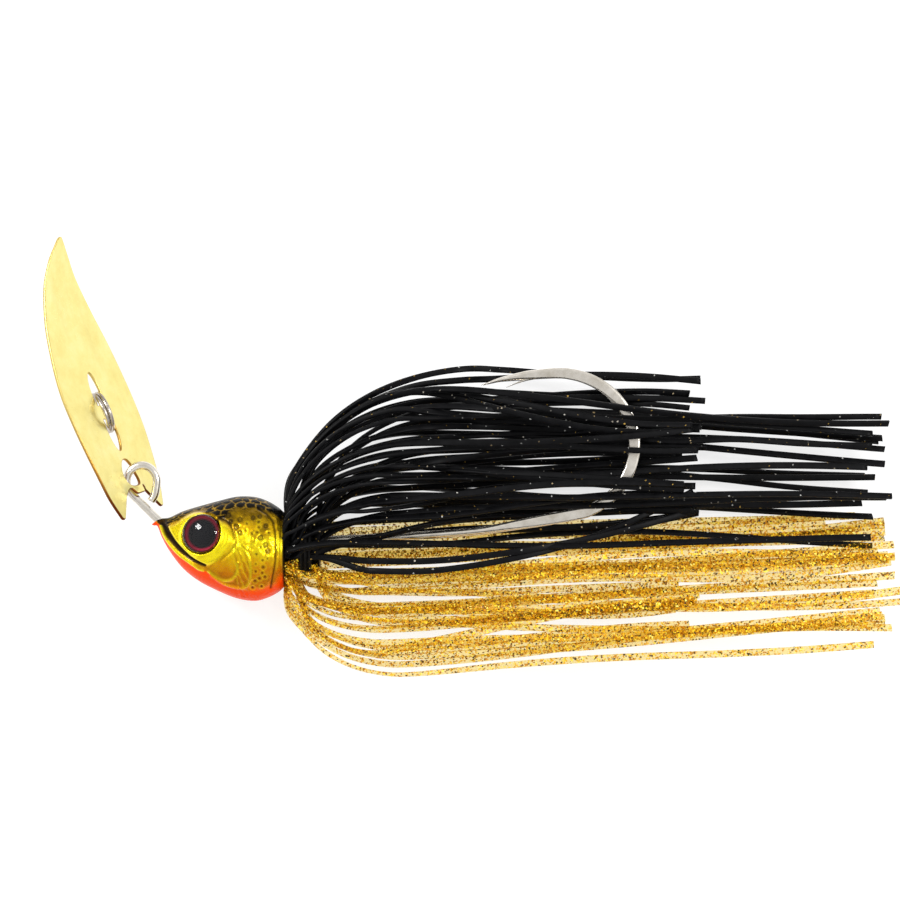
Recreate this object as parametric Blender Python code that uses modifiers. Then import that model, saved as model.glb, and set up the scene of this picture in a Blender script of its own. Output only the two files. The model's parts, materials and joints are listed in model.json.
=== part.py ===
"""Bladed swim jig, lying on its right side on a flat surface.

A cast fish head sits on a jig hook. The hook's wire leaves the nose as an open eye, on which a
leaf-shaped blade hangs. A split ring for the line goes through two slots in the blade. A silicone
skirt of black and gold strands is held behind the head by a rubber collar.

The constants are in millimetres. X runs from the blade to the skirt's tips, Y from the belly to the
back of the fish, and Z up from the surface, through the fish from its right side to its left.
"""

import math

import bmesh
import bpy
import numpy as np
from mathutils import Matrix, Vector
from mathutils.kdtree import KDTree

MM = 0.001
ORIGIN_X = 0.063
ORIGIN_Y = -0.04
MID_Z = 6.88
CLEARANCE = 0.3
MERGE = 0.00005
SHARP_ANGLE = math.radians(40)
CYLINDER_SEGMENTS = 32
TURNED_STEPS = 28

# Head: x, top, bottom and half width of each section, from nose to rear face.
HEAD_SECTIONS = (
    (-41.95, -8.15, -9.05, 0.55),
    (-41.3, -8.1, -10.5, 1.7),
    (-40.3, -7.95, -12.2, 3.0),
    (-38.6, -7.15, -14.5, 4.3),
    (-36.5, -6.5, -16.4, 5.4),
    (-34.0, -5.8, -17.7, 6.05),
    (-31.4, -5.2, -18.75, 6.4),
    (-29.0, -5.25, -19.1, 6.5),
    (-27.2, -5.85, -18.65, 6.3),
    (-25.8, -6.7, -17.9, 5.9),
    (-25.15, -7.3, -17.3, 5.5),
)
HEAD_RINGS = 22
HEAD_SEGMENTS = 28
NOSE_CROWN = 0.35

AXIS_Y = -12.25
BARREL_RADIUS = 2.6
BARREL_START = -26.5
BARREL_END = -20.4
COLLAR_START = -23.1
COLLAR_WIDTH = 1.8
COLLAR_INNER = BARREL_RADIUS + CLEARANCE
COLLAR_OUTER = 3.7
COLLAR_ANGLES = np.radians(np.linspace(90, -90, 7))

EYE_X = -36.0
EYE_Y = -10.2
EYE_RADIUS = 2.6
EYE_TILT_NOSE = math.radians(12)
EYE_TILT_BACK = math.radians(6)
EYE_SOCKET_FLOOR = 4.5
EYE_SURFACE = EYE_SOCKET_FLOOR + 1.0
EYE_DISC_THICKNESS = 0.5
EYE_DOME_HEIGHT = 1.25
EYE_EDGE = 0.1
DOME_ANGLES = np.radians(np.linspace(75, 0, 6))
SOCKET_LENGTH = 8.0
SOCKET_SEGMENTS = 36

# Hook wire. The eye is an ellipse in the plane of the hook, open where the wire was cut. The paths are
# x and y of points along the wire, between the eye's arc and the bend's arc.
WIRE_RADIUS = 0.55
LOOP_X = -44.12
LOOP_Y = -3.2
LOOP_RADIUS_X = 2.03
LOOP_RADIUS_Y = 2.18
LOOP_ANGLES = np.radians(np.arange(-8, 215, 18))
CUT_END = ((-42.87, -5.8), (-42.35, -4.9))
SHAFT = ((-45.3, -4.98), (-43.6, -6.65))
NOSE = (-41.95, -8.27)
SHANK_Y = -11.05
IN_HEAD = ((-40.0, -10.15), (-39.2, -10.75), (-38.2, -11.0), (-36.5, SHANK_Y), (-24.8, SHANK_Y))
SHANK = ((-13.6, -10.75), (-0.7, -9.95), (5.5, -9.05))
CHANNEL_MOUTH = (-44.5, -5.77)
CHANNEL_OVERRUN = 1.0
BEND_X = 11.4
BEND_Y = 1.7
BEND_RADIUS_X = 10.2
BEND_RADIUS_Y = 9.55
BEND_ANGLES = np.radians(np.arange(-75, 91, 11))
BEND_WIDENING = 0.3
BEND_THINNING = 0.15
WIDENING_RUN = 14.0
FULL_WIDTH_BEFORE_POINT = 8.0
POINT_RUN = ((7.5, 11.0), (4.0, 10.45))
POINT_X = 1.2
POINT_Y = 9.65
POINT_BLUNTNESS = 0.12
TAPER_LENGTH = 7.0
BARB_SETBACK = 3.3
BARB_LENGTH = 3.6
BARB_LEAN = 0.35
BARB_RADIUS = 0.4
BARB_TIP_RADIUS = 0.08
BARB_SEGMENTS = 10

# Blade, in its own frame: along its length from the bridge to the tongue, across, and out of its
# back. The outline gives the half width and the rise towards the back at points along the length.
BLADE_CENTRE = (-49.2, 6.07, MID_Z + 0.08)
BLADE_HEADING = math.radians(-67.35)
BLADE_ROLL = math.radians(27.0)
BLADE_THICKNESS = 0.5
BLADE_OUTLINE = (
    (-23.6, 0.25, 4.3),
    (-22.6, 1.05, 3.7),
    (-21.0, 2.2, 2.75),
    (-18.0, 3.7, 1.5),
    (-13.4, 5.45, 0.63),
    (-8.7, 6.75, 0.25),
    (-4.0, 7.55, 0.0),
    (0.0, 7.68, 0.0),
    (4.0, 7.45, 0.0),
    (8.5, 6.8, -0.1),
    (11.4, 6.2, -0.25),
    (14.4, 5.05, -0.35),
)
BLADE_ROWS = 26
BLADE_COLUMNS = 10
TONGUE_LIFT = 1.0
TONGUE_LIFT_START = 9.0
TONGUE_LIFT_HALF_WIDTH = 2.4
SLOT_WIDTH = 2.0
BRIDGE_HALF = 1.0
SLOT_END = 5.65
EYE_HOLE_START = 6.9
EYE_HOLE_END = 10.7
EYE_HOLE_WIDTH = 2.7
TONGUE_END = 11.9
TONGUE_HALF_WIDTH = 1.25
NOTCH_START = 10.9
NOTCH_ROOT = 0.5
NOTCH_END = 15.4
NOTCH_HALF_WIDTH = 5.4
TONGUE_TAPER = 0.3
CUTTER_DEPTH = 6.0
FAR_END_ANGLES = np.radians(np.linspace(-90, 90, 9))
NEAR_END_ANGLES = np.radians(np.linspace(90, 270, 9))

RING_RADIUS = 2.65
RING_WIRE_RADIUS = 0.26
RING_PITCH = 0.58
RING_OFFSET = 0.9
RING_TILT = math.radians(40)
RING_START = math.radians(-60)
RING_END = math.radians(600)
RING_STEP_HALF = math.radians(25)
RING_POINTS = 42

# Skirt strands.
STRAND_RADIUS = 0.45
STRAND_RISE_POINTS = 7
STRAND_TAIL_POINTS = 7
LEAST_DEPTH = 1.5
COLOUR_SPLIT_Y = -13.0
SHORT_TIP_X = 29.0
LONG_TIP_X = {"black": 53.6, "gold": 55.4}
# A strand's tip height is a line of its shoulder height: the line's height at zero and its slope. Of
# every so many strands of a colour, one is short: the number, and which of them.
TIP_LINES = {
    ("black", True): (1.9, 0.85),
    ("black", False): (-2.1, 0.78),
    ("gold", True): (-5.0, 0.7),
    ("gold", False): (2.4, 0.92),
}
SHORT_STRANDS = {"black": (2, 1), "gold": (4, 2)}
TIP_SPREAD = 2.1
TIP_HEIGHT_SPREAD = 0.5
TIP_DEPTH = (0.7, 1.0)
# Of the black strands in front, two in three pass behind the hook's bend.
IN_FRONT_EVERY = 3
DIVE_END_X = 3.0
LEAST_DIVE = 2.9
DIVE_SHARE = 0.75
STRAND_BOW = 1.3
SKIRT_SEED = 7
STRAND_SPACING = 1.0
LOWEST_STRAND_Z = STRAND_RADIUS + 0.05
FOREMOST_STRAND_X = -24.6
HOOK_GAP = ((3.0, -6.0), (19.0, 9.0))
GAP_HALF_DEPTH = 2.1
HOOK_SPACING = 1.35
STRAND_ROOM = 0.6
SPREADING_ROUNDS = 120
SPREADING_STEP = 1.3
HOOK_SAMPLE_LENGTH = 0.5
SAMPLES_PER_SPAN = 8
# Rows: start x and radius at the collar, shoulder heights of the first and last strand, how far the
# row stands off the hook's plane, its side of that plane, and its number of strands.
SKIRT_ROWS = (
    (-24.6, 4.2, 11.0, -28.8, 6.2, 1, 10),
    (-24.6, 4.2, 10.2, -27.6, 6.2, -1, 9),
    (-23.75, 4.3, 9.0, -26.4, 4.9, 1, 8),
    (-23.75, 4.3, 8.0, -25.4, 4.9, -1, 8),
    (-20.7, 3.3, 6.4, -22.0, 3.2, 1, 6),
    (-20.7, 3.3, 5.0, -21.0, 3.2, -1, 6),
)
RISE_LEAST = 7.0
RISE_GAIN_ABOVE = 0.70
RISE_GAIN_BELOW = 0.62


def place(x, y, z):
    """A point of the jig in metres, in the part's frame."""
    return Vector((x + ORIGIN_X, y + ORIGIN_Y, z)) * MM


def smooth_points(points, count):
    """Points spread evenly by parameter along a Catmull-Rom curve through the given points."""
    known = np.array(points, dtype=float)
    padded = np.vstack([2 * known[0] - known[1], known, 2 * known[-1] - known[-2]])
    result = []
    for place_along in np.linspace(0, len(known) - 1, count):
        i = min(int(place_along), len(known) - 2)
        t = place_along - i
        a, b, c, d = padded[i : i + 4]
        square = 2 * a - 5 * b + 4 * c - d
        cube = 3 * b - a - 3 * c + d
        result.append(0.5 * (2 * b + (c - a) * t + square * t**2 + cube * t**3))
    return np.array(result)


def clear_scene():
    for item in list(bpy.data.objects):
        bpy.data.objects.remove(item)


def collection(name):
    made = bpy.data.collections.new(name)
    bpy.context.scene.collection.children.link(made)
    return made


def principled(name, colour, roughness, metallic=0.0, alpha=1.0):
    material = bpy.data.materials.new(name)
    material.use_nodes = True
    shader = material.node_tree.nodes["Principled BSDF"]
    shader.inputs["Base Color"].default_value = (*colour, 1.0)
    shader.inputs["Roughness"].default_value = roughness
    shader.inputs["Metallic"].default_value = metallic
    shader.inputs["Alpha"].default_value = alpha
    return material


def mesh_object(name, bm, material=None):
    bmesh.ops.recalc_face_normals(bm, faces=bm.faces)
    mesh = bpy.data.meshes.new(name)
    bm.to_mesh(mesh)
    bm.free()
    mesh.shade_smooth()
    mesh.set_sharp_from_angle(angle=SHARP_ANGLE)
    obj = bpy.data.objects.new(name, mesh)
    if material is not None:
        mesh.materials.append(material)
    return obj


def wire_object(name, points, radius, material=None, scales=None, resolution=2):
    """A round wire along the points, as a closed mesh."""
    curve = bpy.data.curves.new(name, "CURVE")
    curve.dimensions = "3D"
    curve.bevel_depth = radius * MM
    curve.bevel_resolution = resolution
    curve.use_fill_caps = True
    spline = curve.splines.new("POLY")
    spline.points.add(len(points) - 1)
    for i, point in enumerate(points):
        spline.points[i].co = (*point, 1.0)
        spline.points[i].radius = 1.0 if scales is None else scales[i]
    drawn = bpy.data.objects.new(name + "_path", curve)
    bpy.context.scene.collection.objects.link(drawn)
    graph = bpy.context.evaluated_depsgraph_get()
    mesh = bpy.data.meshes.new_from_object(drawn.evaluated_get(graph))
    bpy.data.objects.remove(drawn)
    bm = bmesh.new()
    bm.from_mesh(mesh)
    bpy.data.meshes.remove(mesh)
    bmesh.ops.remove_doubles(bm, verts=bm.verts, dist=MERGE / 10)
    return mesh_object(name, bm, material)


def boolean(obj, cutter, operation):
    step = obj.modifiers.new(operation.lower() + "_" + cutter.name, "BOOLEAN")
    step.operation = operation
    step.solver = "EXACT"
    step.object = cutter


def hide(cutter, cutters):
    cutters.objects.link(cutter)
    cutter.hide_render = True
    cutter.display_type = "WIRE"


def cylinder(name, centre, axis, radius, length, segments=CYLINDER_SEGMENTS):
    bm = bmesh.new()
    turn = Vector((0, 0, 1)).rotation_difference(Vector(axis)).to_matrix().to_4x4()
    bmesh.ops.create_cone(
        bm,
        cap_ends=True,
        segments=segments,
        radius1=radius * MM,
        radius2=radius * MM,
        depth=length * MM,
        matrix=Matrix.Translation(centre) @ turn,
    )
    return mesh_object(name, bm)


# The hook.


def hook_points():
    """The wire's path, from the cut end of the eye to the point, as x and y."""
    loop = []
    for angle in LOOP_ANGLES:
        loop.append((LOOP_X + LOOP_RADIUS_X * math.cos(angle), LOOP_Y + LOOP_RADIUS_Y * math.sin(angle)))
    bend = []
    for angle in BEND_ANGLES:
        bend.append((BEND_X + BEND_RADIUS_X * math.cos(angle), BEND_Y + BEND_RADIUS_Y * math.sin(angle)))
    return [*CUT_END, *loop, *SHAFT, NOSE, *IN_HEAD, *SHANK, *bend, *POINT_RUN, (POINT_X, POINT_Y)]


def hook_scales(points):
    """The wire's width along its path: wider where the bend is forged flat, tapered to the point."""
    scales = []
    for x, y in points:
        width = 1.0
        if x > 0 and y < BEND_Y:
            width = 1.0 + BEND_WIDENING * min(1.0, x / WIDENING_RUN)
        if x > 0 and y >= BEND_Y:
            forged = (x - FULL_WIDTH_BEFORE_POINT) / FULL_WIDTH_BEFORE_POINT
            width = 1.0 + BEND_WIDENING * min(1.0, max(0.0, forged))
            width *= min(1.0, POINT_BLUNTNESS + (x - POINT_X) / TAPER_LENGTH)
        scales.append(width)
    return scales


def make_hook(material):
    points = hook_points()
    path = [place(x, y, MID_Z) for x, y in points]
    hook = wire_object("hook", path, WIRE_RADIUS, material, hook_scales(points))
    for vertex in hook.data.vertices:
        if vertex.co.x > 0:
            vertex.co.z -= (vertex.co.z - MID_Z * MM) * BEND_THINNING
    return hook


def make_barb():
    """The sliver of wire lifted behind the point, on the inner side of the hook."""
    bm = bmesh.new()
    start = place(POINT_X + BARB_SETBACK, POINT_Y + BARB_LEAN, MID_Z)
    end = place(POINT_X + BARB_SETBACK + BARB_LENGTH, POINT_Y - BARB_LEAN, MID_Z)
    along = end - start
    turn = Vector((0, 0, 1)).rotation_difference(along).to_matrix().to_4x4()
    bmesh.ops.create_cone(
        bm,
        cap_ends=True,
        segments=BARB_SEGMENTS,
        radius1=BARB_RADIUS * MM,
        radius2=BARB_TIP_RADIUS * MM,
        depth=along.length,
        matrix=Matrix.Translation((start + end) / 2) @ turn,
    )
    return mesh_object("barb", bm)


# The head and its eyes.


def make_head(material):
    """A sphere whose rings are moved to the head's sections."""
    sections = smooth_points(HEAD_SECTIONS, HEAD_RINGS - 1)
    bm = bmesh.new()
    bmesh.ops.create_uvsphere(bm, u_segments=HEAD_SEGMENTS, v_segments=HEAD_RINGS, radius=1.0)
    for vertex in bm.verts:
        ring = round(math.acos(max(-1.0, min(1.0, -vertex.co.z))) / math.pi * HEAD_RINGS)
        x, top, bottom, half_width = sections[min(max(ring - 1, 0), HEAD_RINGS - 2)]
        middle = (top + bottom) / 2
        if ring == 0:
            vertex.co = place(x - NOSE_CROWN, middle, MID_Z)
        elif ring == HEAD_RINGS:
            vertex.co = place(x, middle, MID_Z)
        else:
            angle = math.atan2(vertex.co.y, vertex.co.x)
            rise = math.cos(angle) * (top - bottom) / 2
            vertex.co = place(x, middle + rise, MID_Z + math.sin(angle) * half_width)
    return mesh_object("head_casting", bm, material)


def eye_matrix(side):
    """The eye's frame: its origin on the mid-plane below the eye, its Z out of the eye."""
    outward = Vector((-math.sin(EYE_TILT_NOSE), math.sin(EYE_TILT_BACK), side * math.cos(EYE_TILT_NOSE)))
    turn = Vector((0, 0, 1)).rotation_difference(outward).to_matrix().to_4x4()
    lean = outward / abs(outward.z)
    at = place(EYE_X, EYE_Y, MID_Z) - Vector((lean.x, lean.y, 0)) * EYE_SURFACE * MM
    return Matrix.Translation(at) @ turn


def turned(name, profile, matrix, material, steps=TURNED_STEPS):
    """A turned piece from a profile of radius and height, outermost side running downwards."""
    mesh = bpy.data.meshes.new(name)
    points = [(radius * MM, 0.0, height * MM) for radius, height in profile]
    edges = [(i, i + 1) for i in range(len(points) - 1)]
    if profile[0][0] > 0:
        edges.append((len(points) - 1, 0))
    mesh.from_pydata(points, edges, [])
    mesh.materials.append(material)
    obj = bpy.data.objects.new(name, mesh)
    obj.matrix_world = matrix
    screw = obj.modifiers.new("turn", "SCREW")
    screw.axis = "Z"
    screw.steps = steps
    screw.render_steps = steps
    screw.use_merge_vertices = True
    screw.merge_threshold = MERGE
    screw.use_smooth_shade = True
    return obj


def make_eye_disc(name, side, material):
    low = EYE_SOCKET_FLOOR + CLEARANCE
    high = low + EYE_DISC_THICKNESS
    flat = EYE_RADIUS - EYE_EDGE
    profile = [(0.0, high), (flat, high), (EYE_RADIUS, high - EYE_EDGE), (EYE_RADIUS, low), (0.0, low)]
    return turned(name, profile, eye_matrix(side), material)


def make_eye_dome(name, side, material):
    low = EYE_SOCKET_FLOOR + 2 * CLEARANCE + EYE_DISC_THICKNESS
    crown = EYE_DOME_HEIGHT - EYE_EDGE
    profile = [(0.0, low + EYE_DOME_HEIGHT)]
    for angle in DOME_ANGLES:
        profile.append((EYE_RADIUS * math.cos(angle), low + EYE_EDGE + crown * math.sin(angle)))
    profile += [(EYE_RADIUS, low), (0.0, low)]
    return turned(name, profile, eye_matrix(side), material)


# The blade and its ring.


def blade_matrix():
    """The blade's frame: along it, across it and out of its back, which faces the head."""
    along = Vector((math.cos(BLADE_HEADING), math.sin(BLADE_HEADING), 0))
    sideways = Vector((-along.y, along.x, 0))
    across = sideways * math.sin(BLADE_ROLL) - Vector((0, 0, math.cos(BLADE_ROLL)))
    out = along.cross(across)
    turn = Matrix((along, across, out)).transposed().to_4x4()
    return Matrix.Translation(place(*BLADE_CENTRE)) @ turn


def blade_sheet(material):
    """The open sheet, curved back towards the tip. Solidify gives it its thickness."""
    rows = smooth_points(BLADE_OUTLINE, BLADE_ROWS)
    bm = bmesh.new()
    bmesh.ops.create_grid(bm, x_segments=BLADE_ROWS - 1, y_segments=BLADE_COLUMNS, size=1.0)
    for vertex in bm.verts:
        row = round((vertex.co.x + 1) / 2 * (BLADE_ROWS - 1))
        along, half_width, rise = rows[row]
        across = vertex.co.y * half_width
        lifted = max(0.0, along - TONGUE_LIFT_START) / (TONGUE_END - TONGUE_LIFT_START)
        beside = max(0.0, 1.0 - (across / TONGUE_LIFT_HALF_WIDTH) ** 2)
        rise += TONGUE_LIFT * min(1.0, lifted) * beside
        vertex.co = Vector((along, across, rise)) * MM
    mesh = bpy.data.meshes.new("blade")
    bm.to_mesh(mesh)
    bm.free()
    mesh.materials.append(material)
    mesh.shade_smooth()
    obj = bpy.data.objects.new("blade", mesh)
    obj.matrix_world = blade_matrix()
    solidify = obj.modifiers.new("thickness", "SOLIDIFY")
    solidify.thickness = BLADE_THICKNESS * MM
    solidify.offset = 0.0
    return obj


def flat_cutter(name, outline):
    """A prism through the blade from an outline in the blade's frame."""
    bm = bmesh.new()
    low = [bm.verts.new(Vector((along, across, -CUTTER_DEPTH / 2)) * MM) for along, across in outline]
    face = bm.faces.new(low)
    raised = bmesh.ops.extrude_face_region(bm, geom=[face])
    top = [v for v in raised["geom"] if isinstance(v, bmesh.types.BMVert)]
    bmesh.ops.translate(bm, verts=top, vec=(0, 0, CUTTER_DEPTH * MM))
    obj = mesh_object(name, bm)
    obj.matrix_world = blade_matrix()
    return obj


def obround(start, end, width):
    """The outline of a hole with two round ends."""
    radius = width / 2
    outline = []
    for angle in FAR_END_ANGLES:
        outline.append((end - radius + radius * math.cos(angle), radius * math.sin(angle)))
    for angle in NEAR_END_ANGLES:
        outline.append((start + radius + radius * math.cos(angle), radius * math.sin(angle)))
    return outline


def slot(direction):
    """The outline of a line-tie slot: square at the bridge, round at its far end."""
    radius = SLOT_WIDTH / 2
    outline = [(direction * BRIDGE_HALF, radius), (direction * BRIDGE_HALF, -radius)]
    for angle in FAR_END_ANGLES:
        along = SLOT_END - radius + radius * math.cos(angle)
        outline.append((direction * along, radius * math.sin(angle)))
    return outline


def tail_outline():
    """What is cut from the blade's lower end, between the two prongs and round the tongue."""
    return [
        (NOTCH_END, -NOTCH_HALF_WIDTH),
        (NOTCH_START, -TONGUE_HALF_WIDTH - NOTCH_ROOT),
        (NOTCH_START, -TONGUE_HALF_WIDTH),
        (TONGUE_END, -TONGUE_HALF_WIDTH + TONGUE_TAPER),
        (TONGUE_END, TONGUE_HALF_WIDTH - TONGUE_TAPER),
        (NOTCH_START, TONGUE_HALF_WIDTH),
        (NOTCH_START, TONGUE_HALF_WIDTH + NOTCH_ROOT),
        (NOTCH_END, NOTCH_HALF_WIDTH),
    ]


def make_blade(material, cutters):
    blade = blade_sheet(material)
    openings = {
        "upper_slot": slot(-1),
        "lower_slot": slot(1),
        "eye_hole": obround(EYE_HOLE_START, EYE_HOLE_END, EYE_HOLE_WIDTH),
        "tail_notch": tail_outline(),
    }
    for name, outline in openings.items():
        cutter = flat_cutter(name, outline)
        hide(cutter, cutters)
        boolean(blade, cutter, "DIFFERENCE")
    return blade


def ring_matrix():
    """The ring's frame: at the middle of the bridge, leaning sideways in the slots."""
    return blade_matrix() @ Matrix.Rotation(RING_TILT, 4, "X")


def make_ring(material):
    """Two flat turns of wire round the bridge, with a step from one to the other in front of the blade."""
    points = []
    step = (RING_START + RING_END) / 2
    for angle in np.linspace(RING_START, RING_END, RING_POINTS):
        share = max(-1.0, min(1.0, (angle - step) / RING_STEP_HALF))
        across = RING_PITCH / 2 * math.sin(share * math.pi / 2)
        local = Vector((RING_RADIUS * math.cos(angle), across, RING_RADIUS * math.sin(angle) - RING_OFFSET))
        points.append(local * MM)
    ring = wire_object("split_ring", points, RING_WIRE_RADIUS, material)
    ring.matrix_world = ring_matrix()
    return ring


# The skirt.


def make_collar(material):
    middle = (COLLAR_OUTER + COLLAR_INNER) / 2
    half = (COLLAR_OUTER - COLLAR_INNER) / 2
    profile = []
    for angle in COLLAR_ANGLES:
        end = 1 if angle > 0 else -1
        rounded = end * (COLLAR_WIDTH / 2 - half) + half * math.sin(angle)
        profile.append((middle + half * math.cos(angle), rounded))
    profile += [(COLLAR_INNER, -COLLAR_WIDTH / 2), (COLLAR_INNER, COLLAR_WIDTH / 2)]
    at = place(COLLAR_START + COLLAR_WIDTH / 2, AXIS_Y, MID_Z)
    matrix = Matrix.Translation(at) @ Matrix.Rotation(math.pi / 2, 4, "Y")
    return turned("skirt_collar", profile, matrix, material)


def strand_path(angle, start_x, start_radius, shoulder_y, depths, tip, bow):
    """A strand that rises from the collar in a quarter of an ellipse and bows slightly on to its tip."""
    depth, tail_depth = depths
    tip_x, tip_y, tip_depth = tip
    start_y = AXIS_Y + start_radius * math.cos(angle)
    start_z = MID_Z + start_radius * math.sin(angle)
    gain = RISE_GAIN_ABOVE if shoulder_y > AXIS_Y else RISE_GAIN_BELOW
    rise = RISE_LEAST + gain * abs(shoulder_y - AXIS_Y)
    shoulder_x = start_x + rise
    points = []
    for t in np.linspace(0, math.pi / 2, STRAND_RISE_POINTS):
        x = start_x + rise * (1 - math.cos(t))
        line_y = shoulder_y + (tip_y - shoulder_y) * (x - shoulder_x) / (tip_x - shoulder_x)
        share = math.sin(t)
        z = start_z + (MID_Z + depth - start_z) * share
        points.append((x, start_y + (line_y - start_y) * share, z))
    for share in np.linspace(0, 1, STRAND_TAIL_POINTS)[1:]:
        x = shoulder_x + (tip_x - shoulder_x) * share
        y = shoulder_y + (tip_y - shoulder_y) * share + bow * math.sin(math.pi * share) * share
        dived = min(1.0, (x - shoulder_x) / (DIVE_END_X - shoulder_x))
        middle_depth = depth + (tail_depth - depth) * dived
        points.append((x, y, MID_Z + middle_depth + (tip_depth - tail_depth) * share**2))
    return points


def hook_samples():
    """Points every half millimetre or so along the wire, as obstacles to the strands."""
    corners = np.array([(x, y, MID_Z) for x, y in hook_points()])
    samples = []
    for start, end in zip(corners[:-1], corners[1:]):
        count = max(2, int(np.linalg.norm(end - start) / HOOK_SAMPLE_LENGTH))
        samples += [start + (end - start) * share for share in np.linspace(0, 1, count, endpoint=False)]
    return [sample for sample in samples if sample[0] > BARREL_END]


def obstacle_push(point):
    """How far a point of a strand has to move to clear the collar, the hook's gap and the surface."""
    push = np.zeros(3)
    from_axis = np.array((0.0, point[1] - AXIS_Y, point[2] - MID_Z))
    radius = np.linalg.norm(from_axis)
    over_collar = COLLAR_START - STRAND_ROOM < point[0] < COLLAR_START + COLLAR_WIDTH + CLEARANCE
    if over_collar and radius < COLLAR_OUTER + STRAND_ROOM:
        push += from_axis / radius * (COLLAR_OUTER + STRAND_ROOM - radius)
    low, high = HOOK_GAP
    in_gap = low[0] < point[0] < high[0] and low[1] < point[1] < high[1]
    offset = point[2] - MID_Z
    if in_gap and abs(offset) < GAP_HALF_DEPTH + STRAND_ROOM:
        push[2] += math.copysign(GAP_HALF_DEPTH + STRAND_ROOM - abs(offset), offset)
    if point[0] < FOREMOST_STRAND_X:
        push[0] += FOREMOST_STRAND_X - point[0]
    if point[2] < LOWEST_STRAND_Z:
        push[2] += LOWEST_STRAND_Z - point[2]
    return push


def spread_strands(paths):
    """Pushes apart strands that lie closer than their width, and keeps them off the hook."""
    controls = np.array(paths)
    strands, points, _ = controls.shape
    samples = (points - 1) * SAMPLES_PER_SPAN + 1
    along = np.linspace(0, points - 1, samples)
    weights = np.maximum(0.0, 1.0 - np.abs(along[:, None] - np.arange(points)[None, :]))
    hook = hook_samples()
    for _ in range(SPREADING_ROUNDS):
        dense = np.einsum("sp,kpc->ksc", weights, controls)
        flat = dense.reshape(-1, 3)
        tree = KDTree(len(flat) + len(hook))
        for index, point in enumerate(flat):
            tree.insert(point, index)
        for index, point in enumerate(hook):
            tree.insert(point, len(flat) + index)
        tree.balance()
        push = np.zeros_like(flat)
        for index, point in enumerate(flat):
            strand = index // samples
            for at, other, distance in tree.find_range(point, HOOK_SPACING):
                on_hook = other >= len(flat)
                least = HOOK_SPACING if on_hook else STRAND_SPACING
                if (not on_hook and other // samples == strand) or distance >= least:
                    continue
                away = (point - np.array(at)) / max(distance, CLEARANCE / 10)
                move = away * (least - distance) * (1.0 if on_hook else 0.5)
                if np.linalg.norm(move) > np.linalg.norm(push[index]):
                    push[index] = move
            push[index] += obstacle_push(point)
        pushes = push.reshape(strands, samples, 3)
        pushed = np.linalg.norm(pushes, axis=2) > 0
        if not pushed.any():
            break
        share = np.maximum(np.einsum("sp,ks->kp", weights, pushed), 0.5)
        moves = np.einsum("sp,ksc->kpc", weights, pushes) / share[:, :, None]
        moves[:, 0] = 0.0
        controls += SPREADING_STEP * moves
    return controls


def skirt_strands():
    """Each strand's name and path, from the outer rows to the core, front and back."""
    spread = np.random.default_rng(SKIRT_SEED)
    strands = []
    counts = {"black": 0, "gold": 0}
    for start_x, start_radius, top_y, bottom_y, depth, side, number in SKIRT_ROWS:
        middle_y = (top_y + bottom_y) / 2
        half_y = (top_y - bottom_y) / 2
        for i in range(number):
            share = (i + 0.5) / number
            angle = side * math.pi * share
            shoulder_y = top_y + (bottom_y - top_y) * i / (number - 1)
            off_middle = (shoulder_y - middle_y) / half_y
            row_depth = side * max(LEAST_DEPTH, depth * math.sqrt(1 - off_middle**2))
            colour = "black" if shoulder_y > COLOUR_SPLIT_Y else "gold"
            counts[colour] += 1
            dives = colour == "black" and side > 0 and counts[colour] % IN_FRONT_EVERY > 0
            tail_depth = min(-LEAST_DIVE, -DIVE_SHARE * row_depth) if dives else row_depth
            cycle, chosen = SHORT_STRANDS[colour]
            short = counts[colour] % cycle == chosen
            at_zero, slope = TIP_LINES[colour, short]
            tip_y = at_zero + slope * shoulder_y + spread.uniform(-TIP_HEIGHT_SPREAD, TIP_HEIGHT_SPREAD)
            tip_x = (SHORT_TIP_X if short else LONG_TIP_X[colour]) + spread.uniform(-TIP_SPREAD, TIP_SPREAD)
            tip = (tip_x, tip_y, tail_depth * spread.uniform(*TIP_DEPTH))
            bow = spread.uniform(-STRAND_BOW, STRAND_BOW)
            depths = (row_depth, tail_depth)
            path = strand_path(angle, start_x, start_radius, shoulder_y, depths, tip, bow)
            strands.append((f"{colour}_strand_{counts[colour]:02d}", path))
    spread_paths = spread_strands([path for _, path in strands])
    return [(name, path) for (name, _), path in zip(strands, spread_paths)]


def make_strand(name, path, material):
    return wire_object(name, [place(*point) for point in path], STRAND_RADIUS, material, resolution=0)


def pivot(name, at, jig, piece):
    """Parents a moving piece to an empty on its joint's axis, without moving the piece."""
    empty = bpy.data.objects.new(name, None)
    empty.location = at
    empty.empty_display_size = WIRE_RADIUS * MM
    jig.objects.link(empty)
    piece.parent = empty
    piece.matrix_parent_inverse = Matrix.Translation(-at)


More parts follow.
